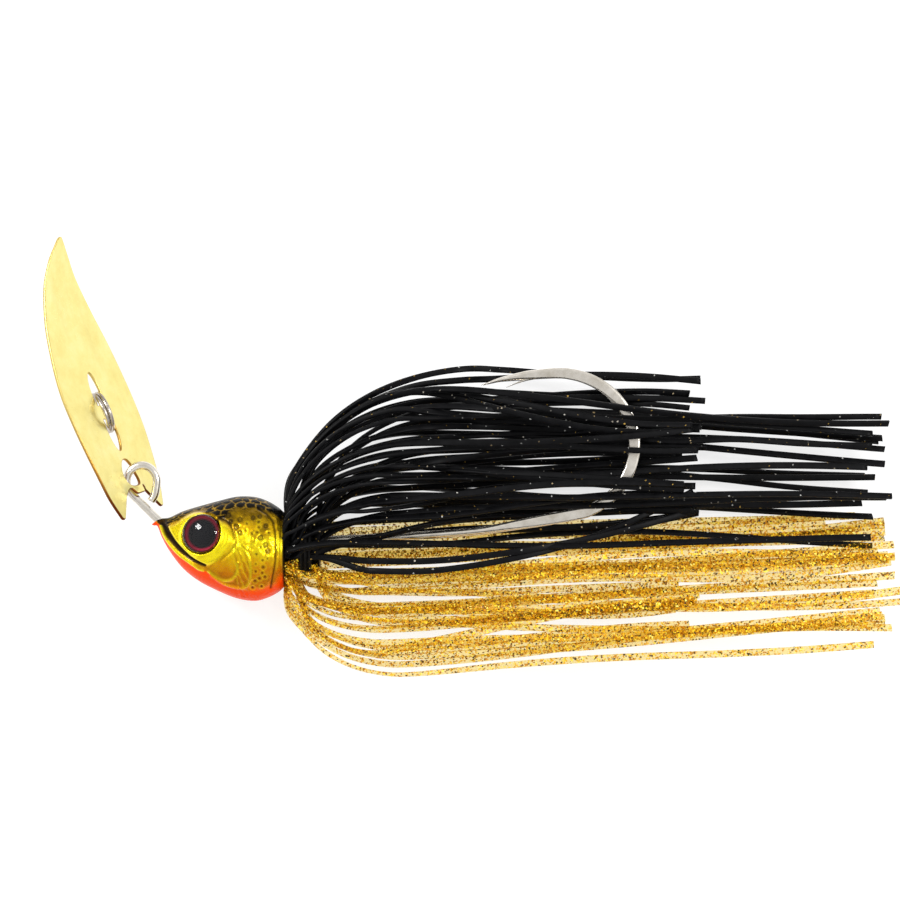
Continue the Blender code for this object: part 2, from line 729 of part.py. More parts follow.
def main():
    clear_scene()
    jig = collection("bladed_swim_jig")
    cutters = collection("cutters")

    paint = principled("paint", (0.55, 0.42, 0.03), 0.25, 0.7)
    nickel = principled("nickel", (0.52, 0.49, 0.44), 0.3, 1.0)
    brass = principled("brass", (0.93, 0.84, 0.42), 0.35, 1.0)
    foil = principled("eye_foil", (0.16, 0.01, 0.03), 0.3)
    resin = principled("clear_resin", (0.9, 0.9, 0.9), 0.05, alpha=0.3)
    rubber = principled("rubber", (0.02, 0.02, 0.02), 0.6)
    silicones = {
        "black": principled("black_silicone", (0.012, 0.012, 0.014), 0.4),
        "gold": principled("gold_silicone", (0.62, 0.38, 0.06), 0.35),
    }

    head = make_head(paint)
    barrel = cylinder(
        "barrel",
        place((BARREL_START + BARREL_END) / 2, AXIS_Y, MID_Z),
        (1, 0, 0),
        BARREL_RADIUS,
        BARREL_END - BARREL_START,
    )
    hide(barrel, cutters)
    boolean(head, barrel, "UNION")
    inside = [CHANNEL_MOUTH, SHAFT[-1], NOSE, *IN_HEAD, (BARREL_END + CHANNEL_OVERRUN, SHANK_Y)]
    channel_path = [place(x, y, MID_Z) for x, y in inside]
    channel = wire_object("wire_channel", channel_path, WIRE_RADIUS + CLEARANCE)
    hide(channel, cutters)
    boolean(head, channel, "DIFFERENCE")
    for side, label in ((1, "left"), (-1, "right")):
        wide = EYE_RADIUS + CLEARANCE
        socket = cylinder("socket_" + label, Vector(), (0, 0, 1), wide, SOCKET_LENGTH, SOCKET_SEGMENTS)
        depth = Matrix.Translation((0, 0, (EYE_SOCKET_FLOOR + SOCKET_LENGTH / 2) * MM))
        socket.matrix_world = eye_matrix(side) @ depth
        hide(socket, cutters)
        boolean(head, socket, "DIFFERENCE")

    hook = make_hook(nickel)
    barb = make_barb()
    hide(barb, cutters)
    boolean(hook, barb, "UNION")

    pieces = [head, hook]
    for side, label in ((1, "left"), (-1, "right")):
        pieces.append(make_eye_disc("eye_disc_" + label, side, foil))
        pieces.append(make_eye_dome("eye_dome_" + label, side, resin))
    blade = make_blade(brass, cutters)
    ring = make_ring(nickel)
    pieces += [blade, ring]
    pieces.append(make_collar(rubber))
    for name, path in skirt_strands():
        pieces.append(make_strand(name, path, silicones[name.split("_")[0]]))
    for piece in pieces:
        jig.objects.link(piece)
    pivot("blade_swing_axis", place(LOOP_X, LOOP_Y, MID_Z), jig, blade)
    pivot("ring_turn_axis", place(*BLADE_CENTRE), jig, ring)


main()
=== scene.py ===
"""Looks of the bladed swim jig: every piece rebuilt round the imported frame, with its materials.

Lengths are in millimetres in the drawing of the lure, X from the blade to the skirt's tips and Y from
the fish's belly to its back. The frame's joint in the middle of the hook's eye places the drawing.
"""

import json
import math

import bpy
import numpy as np
from mathutils import Matrix, Vector, noise
from mathutils.geometry import delaunay_2d_cdt


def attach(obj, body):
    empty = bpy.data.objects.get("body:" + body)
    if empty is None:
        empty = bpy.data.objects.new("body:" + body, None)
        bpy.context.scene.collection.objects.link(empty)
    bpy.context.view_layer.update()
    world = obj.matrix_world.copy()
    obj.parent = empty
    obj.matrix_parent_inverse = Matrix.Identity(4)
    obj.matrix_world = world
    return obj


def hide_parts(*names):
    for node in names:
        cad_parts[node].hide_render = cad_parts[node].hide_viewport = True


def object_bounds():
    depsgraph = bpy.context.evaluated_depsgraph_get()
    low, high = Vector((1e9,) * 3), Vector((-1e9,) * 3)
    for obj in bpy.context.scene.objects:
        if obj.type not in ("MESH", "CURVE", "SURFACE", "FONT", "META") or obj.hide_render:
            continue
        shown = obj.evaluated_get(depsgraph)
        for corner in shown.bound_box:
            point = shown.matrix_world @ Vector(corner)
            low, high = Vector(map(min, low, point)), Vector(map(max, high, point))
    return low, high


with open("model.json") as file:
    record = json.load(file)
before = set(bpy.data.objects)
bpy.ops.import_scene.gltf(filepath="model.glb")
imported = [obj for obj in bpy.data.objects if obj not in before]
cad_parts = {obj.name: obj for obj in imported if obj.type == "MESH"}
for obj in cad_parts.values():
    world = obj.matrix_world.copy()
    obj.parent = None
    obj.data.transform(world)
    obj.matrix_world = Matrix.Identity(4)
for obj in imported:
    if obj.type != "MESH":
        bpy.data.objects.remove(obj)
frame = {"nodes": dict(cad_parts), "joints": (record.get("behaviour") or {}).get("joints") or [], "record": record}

CAD_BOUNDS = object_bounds()
MM = 0.001
JOINTS = {joint["name"]: joint for joint in frame["joints"]}

# The hook's wire. Its eye is an ellipse in the plane of the hook, open where the wire was cut.
WIRE_RADIUS = 0.55
LOOP = (-44.12, -3.2)
LOOP_RADII = (2.03, 2.18)
LOOP_ANGLES = np.radians(np.arange(-8, 215, 18))
CUT_END = ((-42.87, -5.8), (-42.35, -4.9))
SHAFT = ((-45.3, -4.98), (-43.6, -6.65), (-41.95, -8.27), (-40.0, -10.15))
SHANK = (
    (-39.2, -10.75), (-38.2, -11.0), (-36.5, -11.05), (-24.8, -11.05), (-13.6, -10.75), (-0.7, -9.95),
    (5.5, -9.05),
)
BEND = (11.4, 1.7)
BEND_RADII = (10.2, 9.55)
BEND_ANGLES = np.radians(np.arange(-75, 91, 11))
POINT_RUN = ((7.5, 11.0), (4.0, 10.45))
POINT = (1.2, 9.65)
POINT_TAPER = 6.2
POINT_BLUNTNESS = 0.06
# Where the forging begins and is full, along the shank and along the point.
SHANK_FORGED = (0.0, 12.0)
POINT_FORGED = (3.0, 16.0)
FORGED_SQUARENESS = 2.6
FORGED_WIDENING = 0.42
FORGED_THINNING = 0.14
HOOK_SAMPLES = 900
HOOK_RINGS = 520
HOOK_SIDES = 28
# The barb, from its root to its tip. Its X is counted from the point.
BARB = ((7.4, 10.75), (5.4, 10.2), (3.3, 9.35))
BARB_HALF_SIZE = (0.26, 0.36)
BARB_TAPER = (0.9, 0.75)
BARB_SQUARENESS = 2.6
BARB_RINGS = 24
BARB_SIDES = 12

EYE_OF_HOOK = Vector(JOINTS["blade_swing"]["pos_m"])
DATUM = EYE_OF_HOOK - Vector((*LOOP, 0.0)) * MM

# Head: x, top, bottom and half width of each section, from the lip's tip to the rear face.
HEAD_SECTIONS = (
    (-42.72, -8.86, -8.96, 0.08),
    (-42.4, -8.6, -9.06, 0.42),
    (-41.95, -8.15, -9.2, 0.85),
    (-41.3, -8.1, -10.75, 1.7),
    (-40.3, -7.95, -12.5, 3.0),
    (-38.6, -7.15, -14.7, 4.3),
    (-36.5, -6.5, -16.4, 5.4),
    (-34.0, -5.8, -17.7, 6.05),
    (-31.4, -5.2, -18.75, 6.4),
    (-29.0, -5.25, -19.1, 6.5),
    (-27.2, -5.85, -18.65, 6.3),
    (-25.8, -6.7, -17.9, 5.9),
    (-25.15, -7.3, -17.3, 5.5),
)
HEAD_ROWS = 250
HEAD_COLUMNS = 320
AXIS_Y = -12.25
BARREL_RADIUS = 2.6
BARREL_END = -20.4
# The rear face bends round from the head's side, and joins the barrel with a slight cone.
REAR_ANGLES = np.radians((25, 50, 75, 90))
REAR_ROUNDING = 0.35
REAR_CONE = 0.15
BARREL_ROUNDING = 0.15
# Paint: the scale of its noise, and the radius that turns angles round the head into lengths.
WANDER_SCALE = 0.75
ARC_RADIUS = 6.0
# Relief fades in as the surface turns to the side, and out before the rear face.
RELIEF_FACING = (0.12, 0.5)
RELIEF_END = (-25.6, -25.2)

EYE = (-35.6, -9.95)
EYE_RADIUS = 2.6
EYE_TILT_NOSE = math.radians(12)
EYE_TILT_BACK = math.radians(6)
EYE_FLOOR = 4.5
EYE_SURFACE = EYE_FLOOR + 1.0
EYE_GAP = 0.3
DISC_THICKNESS = 0.5
DOME_HEIGHT = 1.25
DOME_EDGE = 0.12
DOME_ANGLES = np.radians(np.arange(84, -1, -6))
# The socket: where its edge begins and ends and where its rim is, counted from the eye's radius.
SOCKET_FLOOR = EYE_FLOOR + 0.25
SOCKET_EDGE = (0.02, 0.14)
RIM_AT = 0.32
RIM_SIZE = 0.2
PUPIL_RADIUS = 1.88

# Blade, in its own frame: along its length from the bridge to the tongue, half width, and rise.
BLADE_OUTLINE = (
    (-23.6, 0.25, 4.3),
    (-22.6, 1.05, 3.7),
    (-21.0, 2.2, 2.75),
    (-18.0, 3.7, 1.5),
    (-13.4, 5.45, 0.63),
    (-8.7, 6.75, 0.25),
    (-4.0, 7.55, 0.0),
    (0.0, 7.68, 0.0),
    (4.0, 7.45, 0.0),
    (8.5, 6.8, -0.1),
    (11.4, 6.2, -0.25),
    (14.4, 5.05, -0.35),
)
BLADE_THICKNESS = 0.44
BLADE_RIM = 0.16
RIM_ANGLES = np.radians((22, 45, 68, 90, 112, 135, 158))
# The tail from the first prong's tip to the middle of the tongue, and the holes: along, across and the
# radius of each corner. The other line-tie slot is the same, turned round.
TAIL = (
    (14.4, -5.05, 0.3), (14.5, -4.5, 0.3), (10.9, -1.75, 0.3), (10.9, -1.25, 0.25), (11.9, -0.95, 0.35),
)
SLOT = (
    (1.0, -1.0, 0.15), (1.0, 1.0, 0.15), (3.6, 1.0, 1.2), (5.1, 0.55, 0.9), (5.75, 0.0, 0.4),
    (5.1, -0.55, 0.9), (3.6, -1.0, 1.2),
)
EYE_HOLE = (
    (6.9, -0.5, 0.5), (6.9, 0.5, 0.5), (8.2, 1.35, 0.9), (10.7, 1.35, 1.3), (10.7, -1.35, 1.3),
    (8.2, -1.35, 0.9),
)
HOLE_SPACING = 0.22
TONGUE_LIFT = (9.0, 2.9)
TONGUE_LIFT_HALF_WIDTH = 2.4
SHEET_SPACING = 0.55
SHEET_LOW = (-23.5, -8.25)
SHEET_HIGH = (14.5, 8.26)
SUPPORT_INSET = 0.12
SUPPORT_MARGIN = 0.25

RING_RADIUS = 2.65
RING_WIRE_RADIUS = 0.28
RING_PITCH = 0.58
RING_OFFSET = 0.9
RING_TILT = math.radians(40)
RING_ANGLES = (math.radians(-60), math.radians(600))
RING_STEP_HALF = math.radians(25)
RING_SECTIONS = 150
RING_SIDES = 16
RING_SQUARENESS = 2.3

COLLAR = (-23.1, -21.3)
COLLAR_RADII = (2.9, 3.7)
RIBS = 3
RIB_HEIGHT = 0.28
RIB_SAMPLES = 37
RIBBED_SHARE = 0.96
GRIP_MARGIN = 0.3
GRIP_HEIGHT = 0.35
TURNED_SIDES = 72
STRAND_WIDTHS = {"black": 0.84, "gold": 1.02}
STRAND_THICKNESS = 0.52
STRAND_RINGS = 110
STRAND_SIDES = 16
STRAND_SQUARENESS = 4.5
FLOOR_GAP = 0.00005
NEIGHBOUR_REACH = 3.5
WANDER_Y = 1.1
WANDER_Z = 0.45
WAVES = (2.5, 6.0)
WAVE_SHARES = (0.3, 1.0)
LIE_SPREAD = 0.45
START_TURN = 0.35
SWING = 0.45
WIDTH_SPREAD = 0.1
CUT_SLANT = 0.12
STRAYS = 5
STRAY_REACH = 4
CROSSING_LIFT = 1.0
TUCK_STEP = 0.8
TUCK_DEPTH = 1.0
TUCK_SHORTER = 4.0
DIP = 0.4
DIP_STEP = 1.3
DIP_FRONT = 6.9
DIP_RISE = 5
SKIRT_SEED = 7

# The camera looks straight down. The picture is this wide at the height of the hook.
PICTURE_WIDTH = 120.0
PICTURE_OFFSET = (-3.25, 0.93)
LENS = 100.0
SENSOR = 36.0
FLOOR_SIZE = 3.0


def place(x, y, z=0.0):
    """A point of the drawing in metres in the frame, z counted from the plane of the hook."""
    return DATUM + Vector((x, y, z)) * MM


def colour(red, green, blue):
    """A display colour, 0 to 255, as the linear one that shaders take."""
    parts = np.array((red, green, blue)) / 255.0
    return tuple(np.where(parts <= 0.04045, parts / 12.92, ((parts + 0.055) / 1.055) ** 2.4))


def spline(points, count):
    """Points along a Catmull-Rom curve through the given ones, evenly spread by parameter."""
    known = np.array(points, dtype=float)
    padded = np.vstack([2 * known[0] - known[1], known, 2 * known[-1] - known[-2]])
    along = np.linspace(0, len(known) - 1, count)
    first = np.minimum(along.astype(int), len(known) - 2)
    t = (along - first)[:, None]
    a, b, c, d = (padded[first + shift] for shift in range(4))
    return 0.5 * (2 * b + (c - a) * t + (2 * a - 5 * b + 4 * c - d) * t**2 + (3 * b - a - 3 * c + d) * t**3)


def even(points, count):
    """The same polyline with its points evenly spaced."""
    steps = np.linalg.norm(np.diff(points, axis=0), axis=1)
    length = np.concatenate([[0.0], np.cumsum(steps)])
    places = np.linspace(0, length[-1], count)
    return np.column_stack([np.interp(places, length, points[:, axis]) for axis in range(points.shape[1])])


def step(low, high, value):
    """0 below low, 1 above high, and smooth between them."""
    share = np.clip((value - low) / (high - low), 0.0, 1.0)
    return share * share * (3 - 2 * share)


def ridge(distance, half_width):
    """1 on a line, falling off smoothly to each side."""
    return np.exp(-((distance / half_width) ** 2))


def line_distance(x, y, points, smooth=True):
    """Distance from each x, y to a curve through the points, and how far along it the nearest place is."""
    curve = spline(points, 12 * len(points)) if smooth else np.array(points, dtype=float)
    best = np.full(x.shape, 1e9)
    share = np.zeros(x.shape)
    for i, (start, end) in enumerate(zip(curve[:-1], curve[1:])):
        run = end - start
        t = np.clip(((x - start[0]) * run[0] + (y - start[1]) * run[1]) / max(run @ run, 1e-12), 0, 1)
        distance = np.hypot(x - start[0] - t * run[0], y - start[1] - t * run[1])
        nearer = distance < best
        best = np.where(nearer, distance, best)
        share = np.where(nearer, (i + t) / (len(curve) - 1), share)
    return best, share


def inside(x, y, outline):
    """Whether each x, y is inside a closed outline."""
    odd = np.zeros(x.shape, dtype=bool)
    ends = np.roll(outline, -1, axis=0)
    for (ax, ay), (bx, by) in zip(outline, ends):
        crosses = (ay > y) != (by > y)
        odd ^= crosses & (x < (bx - ax) * (y - ay) / (by - ay + 1e-12) + ax)
    return odd


def between_loops(x, y, loops):
    """Whether each x, y is inside the first loop and outside all the others."""
    found = inside(x, y, loops[0])
    for loop in loops[1:]:
        found &= ~inside(x, y, loop)
    return found


def depth_in(x, y, outline):
    """Distance to a closed smooth outline, positive inside it."""
    closed = np.array([*outline, outline[0]], dtype=float)
    distance, _ = line_distance(x, y, closed)
    return np.where(inside(x, y, spline(closed, 12 * len(closed))[:-1]), distance, -distance)


def cloud(points, scale, octaves=3):
    """Smooth noise from -1 to 1 at points in millimetres."""
    return np.array([noise.fractal(Vector(p) * scale, 0.6, 2.0, octaves) for p in points])


# Building blocks.


def make_piece(name, vertices, faces, material, body, replaced):
    """A smooth-shaded mesh that rides on its body and stands for its CAD nodes."""
    mesh = bpy.data.meshes.new(name)
    mesh.from_pydata([tuple(v) for v in vertices], [], faces)
    mesh.validate()
    mesh.materials.append(material)
    mesh.shade_smooth()
    piece = bpy.data.objects.new(name, mesh)
    bpy.context.scene.collection.objects.link(piece)
    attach(piece, body)
    if replaced:
        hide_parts(*replaced)
    return piece


def grid_faces(rings, sides):
    """Quads between rings of points, closed round each ring, with both ends capped."""
    faces = []
    for ring in range(rings - 1):
        for side in range(sides):
            beside = (side + 1) % sides
            low = ring * sides
            faces.append((low + side, low + beside, low + sides + beside, low + sides + side))
    faces.append(tuple(range(sides - 1, -1, -1)))
    faces.append(tuple(range((rings - 1) * sides, rings * sides)))
    return faces


def rounded_section(sides, squareness):
    """Points round a circle that turns into a rounded square as squareness grows from 2."""
    angles = np.linspace(0, 2 * math.pi, sides, endpoint=False)
    cosines = np.cos(angles)
    sines = np.sin(angles)
    across = np.sign(cosines) * np.abs(cosines) ** (2 / squareness)
    up = np.sign(sines) * np.abs(sines) ** (2 / squareness)
    return across, up


def feed(tree, made, inputs):
    """Links each of a node's inputs to the socket given for it, or sets it to the value given."""
    for key, value in inputs.items():
        socket = made.inputs[key]
        if isinstance(value, bpy.types.NodeSocket):
            tree.links.new(value, socket)
        else:
            socket.default_value = value


def node(tree, kind, inputs=None, **settings):
    made = tree.nodes.new("ShaderNode" + kind)
    for key, value in settings.items():
        setattr(made, key, value)
    feed(tree, made, inputs or {})
    return made


def maths(tree, operation, *values):
    return node(tree, "Math", dict(enumerate(values)), operation=operation).outputs["Value"]


def noise_factor(tree, where, scale, detail, roughness=0.5):
    inputs = {"Vector": where, "Scale": scale, "Detail": detail, "Roughness": roughness}
    return node(tree, "TexNoise", inputs).outputs["Fac"]


def flake_chances(tree, where, scale):
    """Random numbers from 0 to 1, each the same all over a cell the size of a flake."""
    cells = node(tree, "TexVoronoi", {"Vector": where, "Scale": scale, "Randomness": 1.0})
    return node(tree, "SeparateColor", {"Color": cells.outputs["Color"]}).outputs


def ramp(tree, factor, stops):
    made = node(tree, "ValToRGB", {"Fac": factor})
    elements = made.color_ramp.elements
    while len(elements) < len(stops):
        elements.new(0.5)
    for element, (position, shade) in zip(elements, stops):
        element.position = position
        element.color = (*shade, 1.0) if len(shade) == 3 else shade
    return made.outputs["Color"]


def grey_ramp(tree, factor, stops):
    return ramp(tree, factor, [(position, (value, value, value)) for position, value in stops])


def new_material(name):
    """A material with a cleared tree, its Principled shader and its output."""
    material = bpy.data.materials.new(name)
    material.use_nodes = True
    tree = material.node_tree
    tree.nodes.clear()
    shader = node(tree, "BsdfPrincipled")
    output = node(tree, "OutputMaterial", {"Surface": shader.outputs["BSDF"]})
    return material, tree, shader, output


def coordinates(tree):
    return node(tree, "TexCoord").outputs["Object"]


def mixed(tree, factor, first, second, blend="MIX"):
    made = node(tree, "Mix", {0: factor, 6: first, 7: second}, data_type="RGBA", blend_type=blend)
    return made.outputs[2]


def bump(tree, shader, height, strength, distance):
    made = node(tree, "Bump", {"Height": height, "Strength": strength, "Distance": distance})
    feed(tree, shader, {"Normal": made.outputs["Normal"]})


def show_through(tree, output, solid, tint, shader):
    """Makes a surface of the shader where solid is 1, and clear with a tint where it is 0."""
    clear = node(tree, "BsdfTransparent", {"Color": (*tint, 1.0)})
    both = node(tree, "MixShader", {0: solid, 1: clear.outputs["BSDF"], 2: shader.outputs["BSDF"]})
    feed(tree, output, {"Surface": both.outputs["Shader"]})


# Materials.


def nickel_material(name, light, dark, roughness):
    """Satin nickel wire, with slight tarnish in patches and a fine grain."""
    material, tree, shader, _ = new_material(name)
    where = coordinates(tree)
    patches = noise_factor(tree, where, 420.0, 5.0, 0.65)
    fine = noise_factor(tree, where, 1700.0, 3.0, 0.6)
    feed(tree, shader, {
        "Base Color": ramp(tree, patches, [(0.3, dark), (0.62, light)]),
        "Roughness": grey_ramp(tree, fine, [(0.3, roughness * 0.8), (0.75, roughness * 1.3)]),
        "Metallic": 1.0,
    })
    bump(tree, shader, fine, 0.05, 0.00002)
    return material


def blade_material():
    """Pale gold plate, rolled satin, faintly mottled, with a few wiped streaks and painted shade on its cut edges.
    """
    material, tree, shader, _ = new_material("pale_gold_plate")
    where = coordinates(tree)
    mottle = noise_factor(tree, where, 260.0, 6.0, 0.7)
    tones = [(0.25, colour(230, 212, 128)), (0.5, colour(240, 226, 146)), (0.75, colour(246, 235, 166))]
    stretch = node(tree, "Mapping", {"Vector": where, "Scale": (0.12, 1.0, 1.0)}).outputs["Vector"]
    wiped = grey_ramp(tree, noise_factor(tree, stretch, 900.0, 4.0), [(0.45, 1.0), (0.7, 0.93)])
    face = mixed(tree, 0.6, ramp(tree, mottle, tones), wiped, "MULTIPLY")
    # Painted shade on the cut edges: pale gold up to the middle of the blade, dark brown at the tail.
    cut = node(tree, "Attribute", attribute_name="cut_edge").outputs["Fac"]
    along = node(tree, "SeparateXYZ", {"Vector": where}).outputs["X"]
    tail_range = {"Value": along, "From Min": -0.002, "From Max": 0.012}
    to_tail = node(tree, "MapRange", tail_range).outputs["Result"]
    edge_shade_tones = [(0.0, colour(226, 200, 120)), (0.6, colour(190, 140, 60)), (1.0, colour(110, 52, 18))]
    grain = noise_factor(tree, where, 3800.0, 4.0, 0.7)
    feed(tree, shader, {
        "Base Color": mixed(tree, cut, face, ramp(tree, to_tail, edge_shade_tones)),
        "Roughness": grey_ramp(tree, grain, [(0.3, 0.26), (0.7, 0.4)]),
        "Metallic": 1.0,
    })
    bump(tree, shader, grain, 0.1, 0.00003)
    return material


def paint_and_shade_material():
    """The head's paint, with painted shade and highlights, under its clear coat. The pattern and its metal come
    with the mesh.
    """
    material, tree, shader, _ = new_material("head_paint")
    where = coordinates(tree)
    paint = node(tree, "Attribute", attribute_name="paint").outputs["Color"]
    metal = node(tree, "Attribute", attribute_name="metal").outputs["Fac"]
    leaf = noise_factor(tree, where, 1500.0, 5.0, 0.7)
    lights = grey_ramp(tree, leaf, [(0.3, 0.78), (0.55, 1.0), (0.75, 1.2)])
    leafed = mixed(tree, 0.8, paint, lights, "MULTIPLY")
    fine = noise_factor(tree, where, 4200.0, 3.0)
    feed(tree, shader, {
        "Base Color": mixed(tree, metal, paint, leafed),
        "Metallic": metal,
        "Roughness": grey_ramp(tree, fine, [(0.3, 0.2), (0.7, 0.34)]),
        "Coat Weight": 0.07,
        "Coat Roughness": 0.04,
        "Specular IOR Level": 0.02,
    })
    bump(tree, shader, leaf, 0.35, 0.00008)
    return material


def iris_material():
    """Burgundy foil round a black pupil, with a dark rim, by distance from the eye's centre."""
    material, tree, shader, _ = new_material("eye_foil")
    where = coordinates(tree)
    ripple = noise_factor(tree, where, 1400.0, 4.0)
    flat = node(tree, "VectorMath", {0: where, 1: (1.0, 1.0, 0.0)}, operation="MULTIPLY").outputs["Vector"]
    radius = node(tree, "VectorMath", {0: flat}, operation="LENGTH").outputs["Value"]
    share = maths(tree, "DIVIDE", radius, EYE_RADIUS * MM)
    wobble = maths(tree, "MULTIPLY_ADD", ripple, 0.03, share)
    pupil = PUPIL_RADIUS / EYE_RADIUS
    rings = [
        (0.0, colour(22, 22, 26)),
        (pupil - 0.02, colour(12, 12, 15)),
        (pupil + 0.02, colour(56, 5, 16)),
        (0.84, colour(98, 11, 30)),
        (0.93, colour(60, 5, 17)),
        (0.99, colour(12, 3, 6)),
    ]
    feed(tree, shader, {
        "Base Color": ramp(tree, wobble, rings),
        "Metallic": grey_ramp(tree, wobble, [(pupil - 0.02, 0.0), (pupil + 0.03, 0.45)]),
        "Roughness": 0.35,
        "Specular IOR Level": 0.0,
    })
    return material


def resin_material():
    """Clear epoxy: what lies under it shows through, and its outer surface reflects."""
    material, tree, shader, output = new_material("clear_resin")
    feed(tree, shader, {"Base Color": (1.0, 1.0, 1.0, 1.0), "Metallic": 1.0, "Roughness": 0.03})
    rim = node(tree, "Fresnel", {"IOR": 1.38}).outputs["Fac"]
    outside = maths(tree, "SUBTRACT", 1.0, node(tree, "NewGeometry").outputs["Backfacing"])
    show_through(tree, output, maths(tree, "MULTIPLY", rim, outside), (0.98, 0.98, 0.98), shader)
    return material


def rubber_material():
    """Matt black rubber, a little dusty."""
    material, tree, shader, _ = new_material("collar_rubber")
    dust = noise_factor(tree, coordinates(tree), 900.0, 6.0)
    feed(tree, shader, {
        "Base Color": ramp(tree, dust, [(0.35, colour(7, 7, 8)), (0.8, colour(24, 23, 22))]),
        "Roughness": 0.6,
        "Specular IOR Level": 0.15,
    })
    bump(tree, shader, dust, 0.3, 0.00008)
    return material


def black_silicone_material():
    """Black silicone with sparse pale flakes and a soft, uneven sheen."""
    material, tree, shader, _ = new_material("black_silicone")
    where = coordinates(tree)
    haze = noise_factor(tree, where, 700.0, 5.0, 0.7)
    base = ramp(tree, haze, [(0.3, colour(3, 3, 4)), (0.75, colour(14, 14, 16))])
    chance = flake_chances(tree, where, 5600.0)
    flake = grey_ramp(tree, chance["Red"], [(0.994, 0.0), (0.998, 0.5)])
    tint = ramp(tree, chance["Green"], [(0.3, colour(245, 245, 240)), (0.7, colour(235, 190, 90))])
    feed(tree, shader, {
        "Base Color": mixed(tree, flake, base, tint),
        "Roughness": grey_ramp(tree, haze, [(0.3, 0.36), (0.7, 0.55)]),
        "Specular IOR Level": 0.1,
    })
    bump(tree, shader, haze, 0.25, 0.00008)
    return material


def gold_silicone_material():
    """Clear amber silicone full of gold and dark flakes: light passes between the flakes."""
    material, tree, shader, output = new_material("gold_silicone")
    where = coordinates(tree)
    chance = flake_chances(tree, where, 4600.0)
    flakes = [
        (0.0, colour(255, 242, 130)),
        (0.18, colour(255, 222, 40)),
        (0.45, colour(242, 186, 14)),
        (0.7, colour(206, 136, 8)),
        (0.84, colour(120, 76, 8)),
        (0.93, colour(34, 22, 6)),
    ]
    feed(tree, shader, {"Base Color": ramp(tree, chance["Red"], flakes), "Roughness": 0.36, "Metallic": 0.1})
    dense = grey_ramp(tree, noise_factor(tree, where, 160.0, 3.0), [(0.35, 0.1), (0.65, -0.1)])
    lottery = maths(tree, "SUBTRACT", chance["Green"], dense)
    solid = grey_ramp(tree, lottery, [(0.66, 0.05), (0.72, 0.95)])
    show_through(tree, output, solid, colour(252, 243, 208), shader)
    return material


# Hook.


def arc(centre, radii, angles):
    """Points of an ellipse at the angles."""
    return np.array(centre) + np.column_stack([np.cos(angles), np.sin(angles)]) * radii


def hook_path():
    """Evenly spaced points along the wire, from the cut end of its eye to its point."""
    loop = arc(LOOP, LOOP_RADII, LOOP_ANGLES)
    bend = arc(BEND, BEND_RADII, BEND_ANGLES)
    points = [*CUT_END, *loop, *SHAFT, *SHANK, *bend, *POINT_RUN, POINT]
    return even(spline(points, HOOK_SAMPLES), HOOK_RINGS)


def make_hook(material):
    """The wire: round to the shank, forged flat and wide round the bend, and tapered to the point."""
    path = hook_path()
    tangents = np.gradient(path, axis=0)
    tangents /= np.linalg.norm(tangents, axis=1)[:, None]
    vertices = []
    for (x, y), (run_x, run_y) in zip(path, tangents):
        forged = float(step(*SHANK_FORGED, x))
        taper = 1.0
        if y > BEND[1] and x > 0:
            past_point = max(0.0, x - POINT[0]) / POINT_TAPER
            taper = min(1.0, POINT_BLUNTNESS + (1 - POINT_BLUNTNESS) * past_point**0.75)
            forged = float(step(*POINT_FORGED, x))
        across, up = rounded_section(HOOK_SIDES, 2.0 + FORGED_SQUARENESS * forged)
        half_width = WIRE_RADIUS * (1.0 + FORGED_WIDENING * forged) * taper
        half_depth = WIRE_RADIUS * (1.0 - FORGED_THINNING * forged) * taper
        for side, lift in zip(across * half_width, up * half_depth):
            vertices.append(place(x - run_y * side, y + run_x * side, lift))
    faces = grid_faces(HOOK_RINGS, HOOK_SIDES)
    return make_piece("hook_wire", vertices, faces, material, "jig", ["hook"])


def make_barb(material):
    """The sliver cut up from the wire behind the point, on the inner side of the hook."""
    along = spline([(POINT[0] + x, y) for x, y in BARB], BARB_RINGS)
    across, up = rounded_section(BARB_SIDES, BARB_SQUARENESS)
    vertices = []
    for share, (x, y) in zip(np.linspace(0, 1, BARB_RINGS), along):
        half_width, half_depth = np.array(BARB_HALF_SIZE) * (1 - np.array(BARB_TAPER) * share)
        for side, lift in zip(across * half_width, up * half_depth):
            vertices.append(place(x, y + side, lift))
    faces = grid_faces(BARB_RINGS, BARB_SIDES)
    return make_piece("hook_barb", vertices, faces, material, "jig", [])


# Head.

CHEEK_PLATE = (
    (-40.37, -9.0), (-39.25, -8.67), (-38.2, -7.88), (-37.0, -7.28), (-35.8, -7.19), (-34.6, -7.61),
    (-33.8, -8.2), (-33.06, -8.27), (-32.1, -8.8), (-31.5, -9.7), (-31.34, -10.8), (-31.7, -11.7),
    (-32.4, -12.6), (-33.3, -13.5), (-34.4, -14.1), (-35.3, -14.2), (-36.2, -13.8), (-37.3, -13.15),
    (-38.3, -12.2), (-39.25, -11.2), (-40.17, -9.85),
)
MOUTH = (
    (-41.3, -8.75), (-40.6, -9.7), (-39.6, -10.95), (-38.6, -12.0), (-37.5, -12.9), (-36.4, -13.6),
    (-35.3, -14.1),
)
LIP_RIM = (
    (-41.55, -9.05), (-40.87, -10.32), (-39.95, -11.52), (-38.9, -12.6), (-37.87, -13.37),
    (-36.75, -14.12), (-36.09, -14.6), (-35.43, -14.8),
)
BELLY_EDGE = (
    (-43.2, -8.3), (-42.1, -8.6), (-41.62, -9.15), (-40.96, -10.45), (-40.04, -11.68), (-38.99, -12.8),
    (-37.93, -13.5), (-36.75, -14.2), (-36.0, -14.6), (-35.16, -14.8), (-34.37, -15.3), (-33.32, -16.1),
    (-32.26, -16.7), (-31.08, -17.05), (-29.89, -17.3), (-28.57, -17.4), (-26.47, -16.9), (-25.0, -15.4),
)
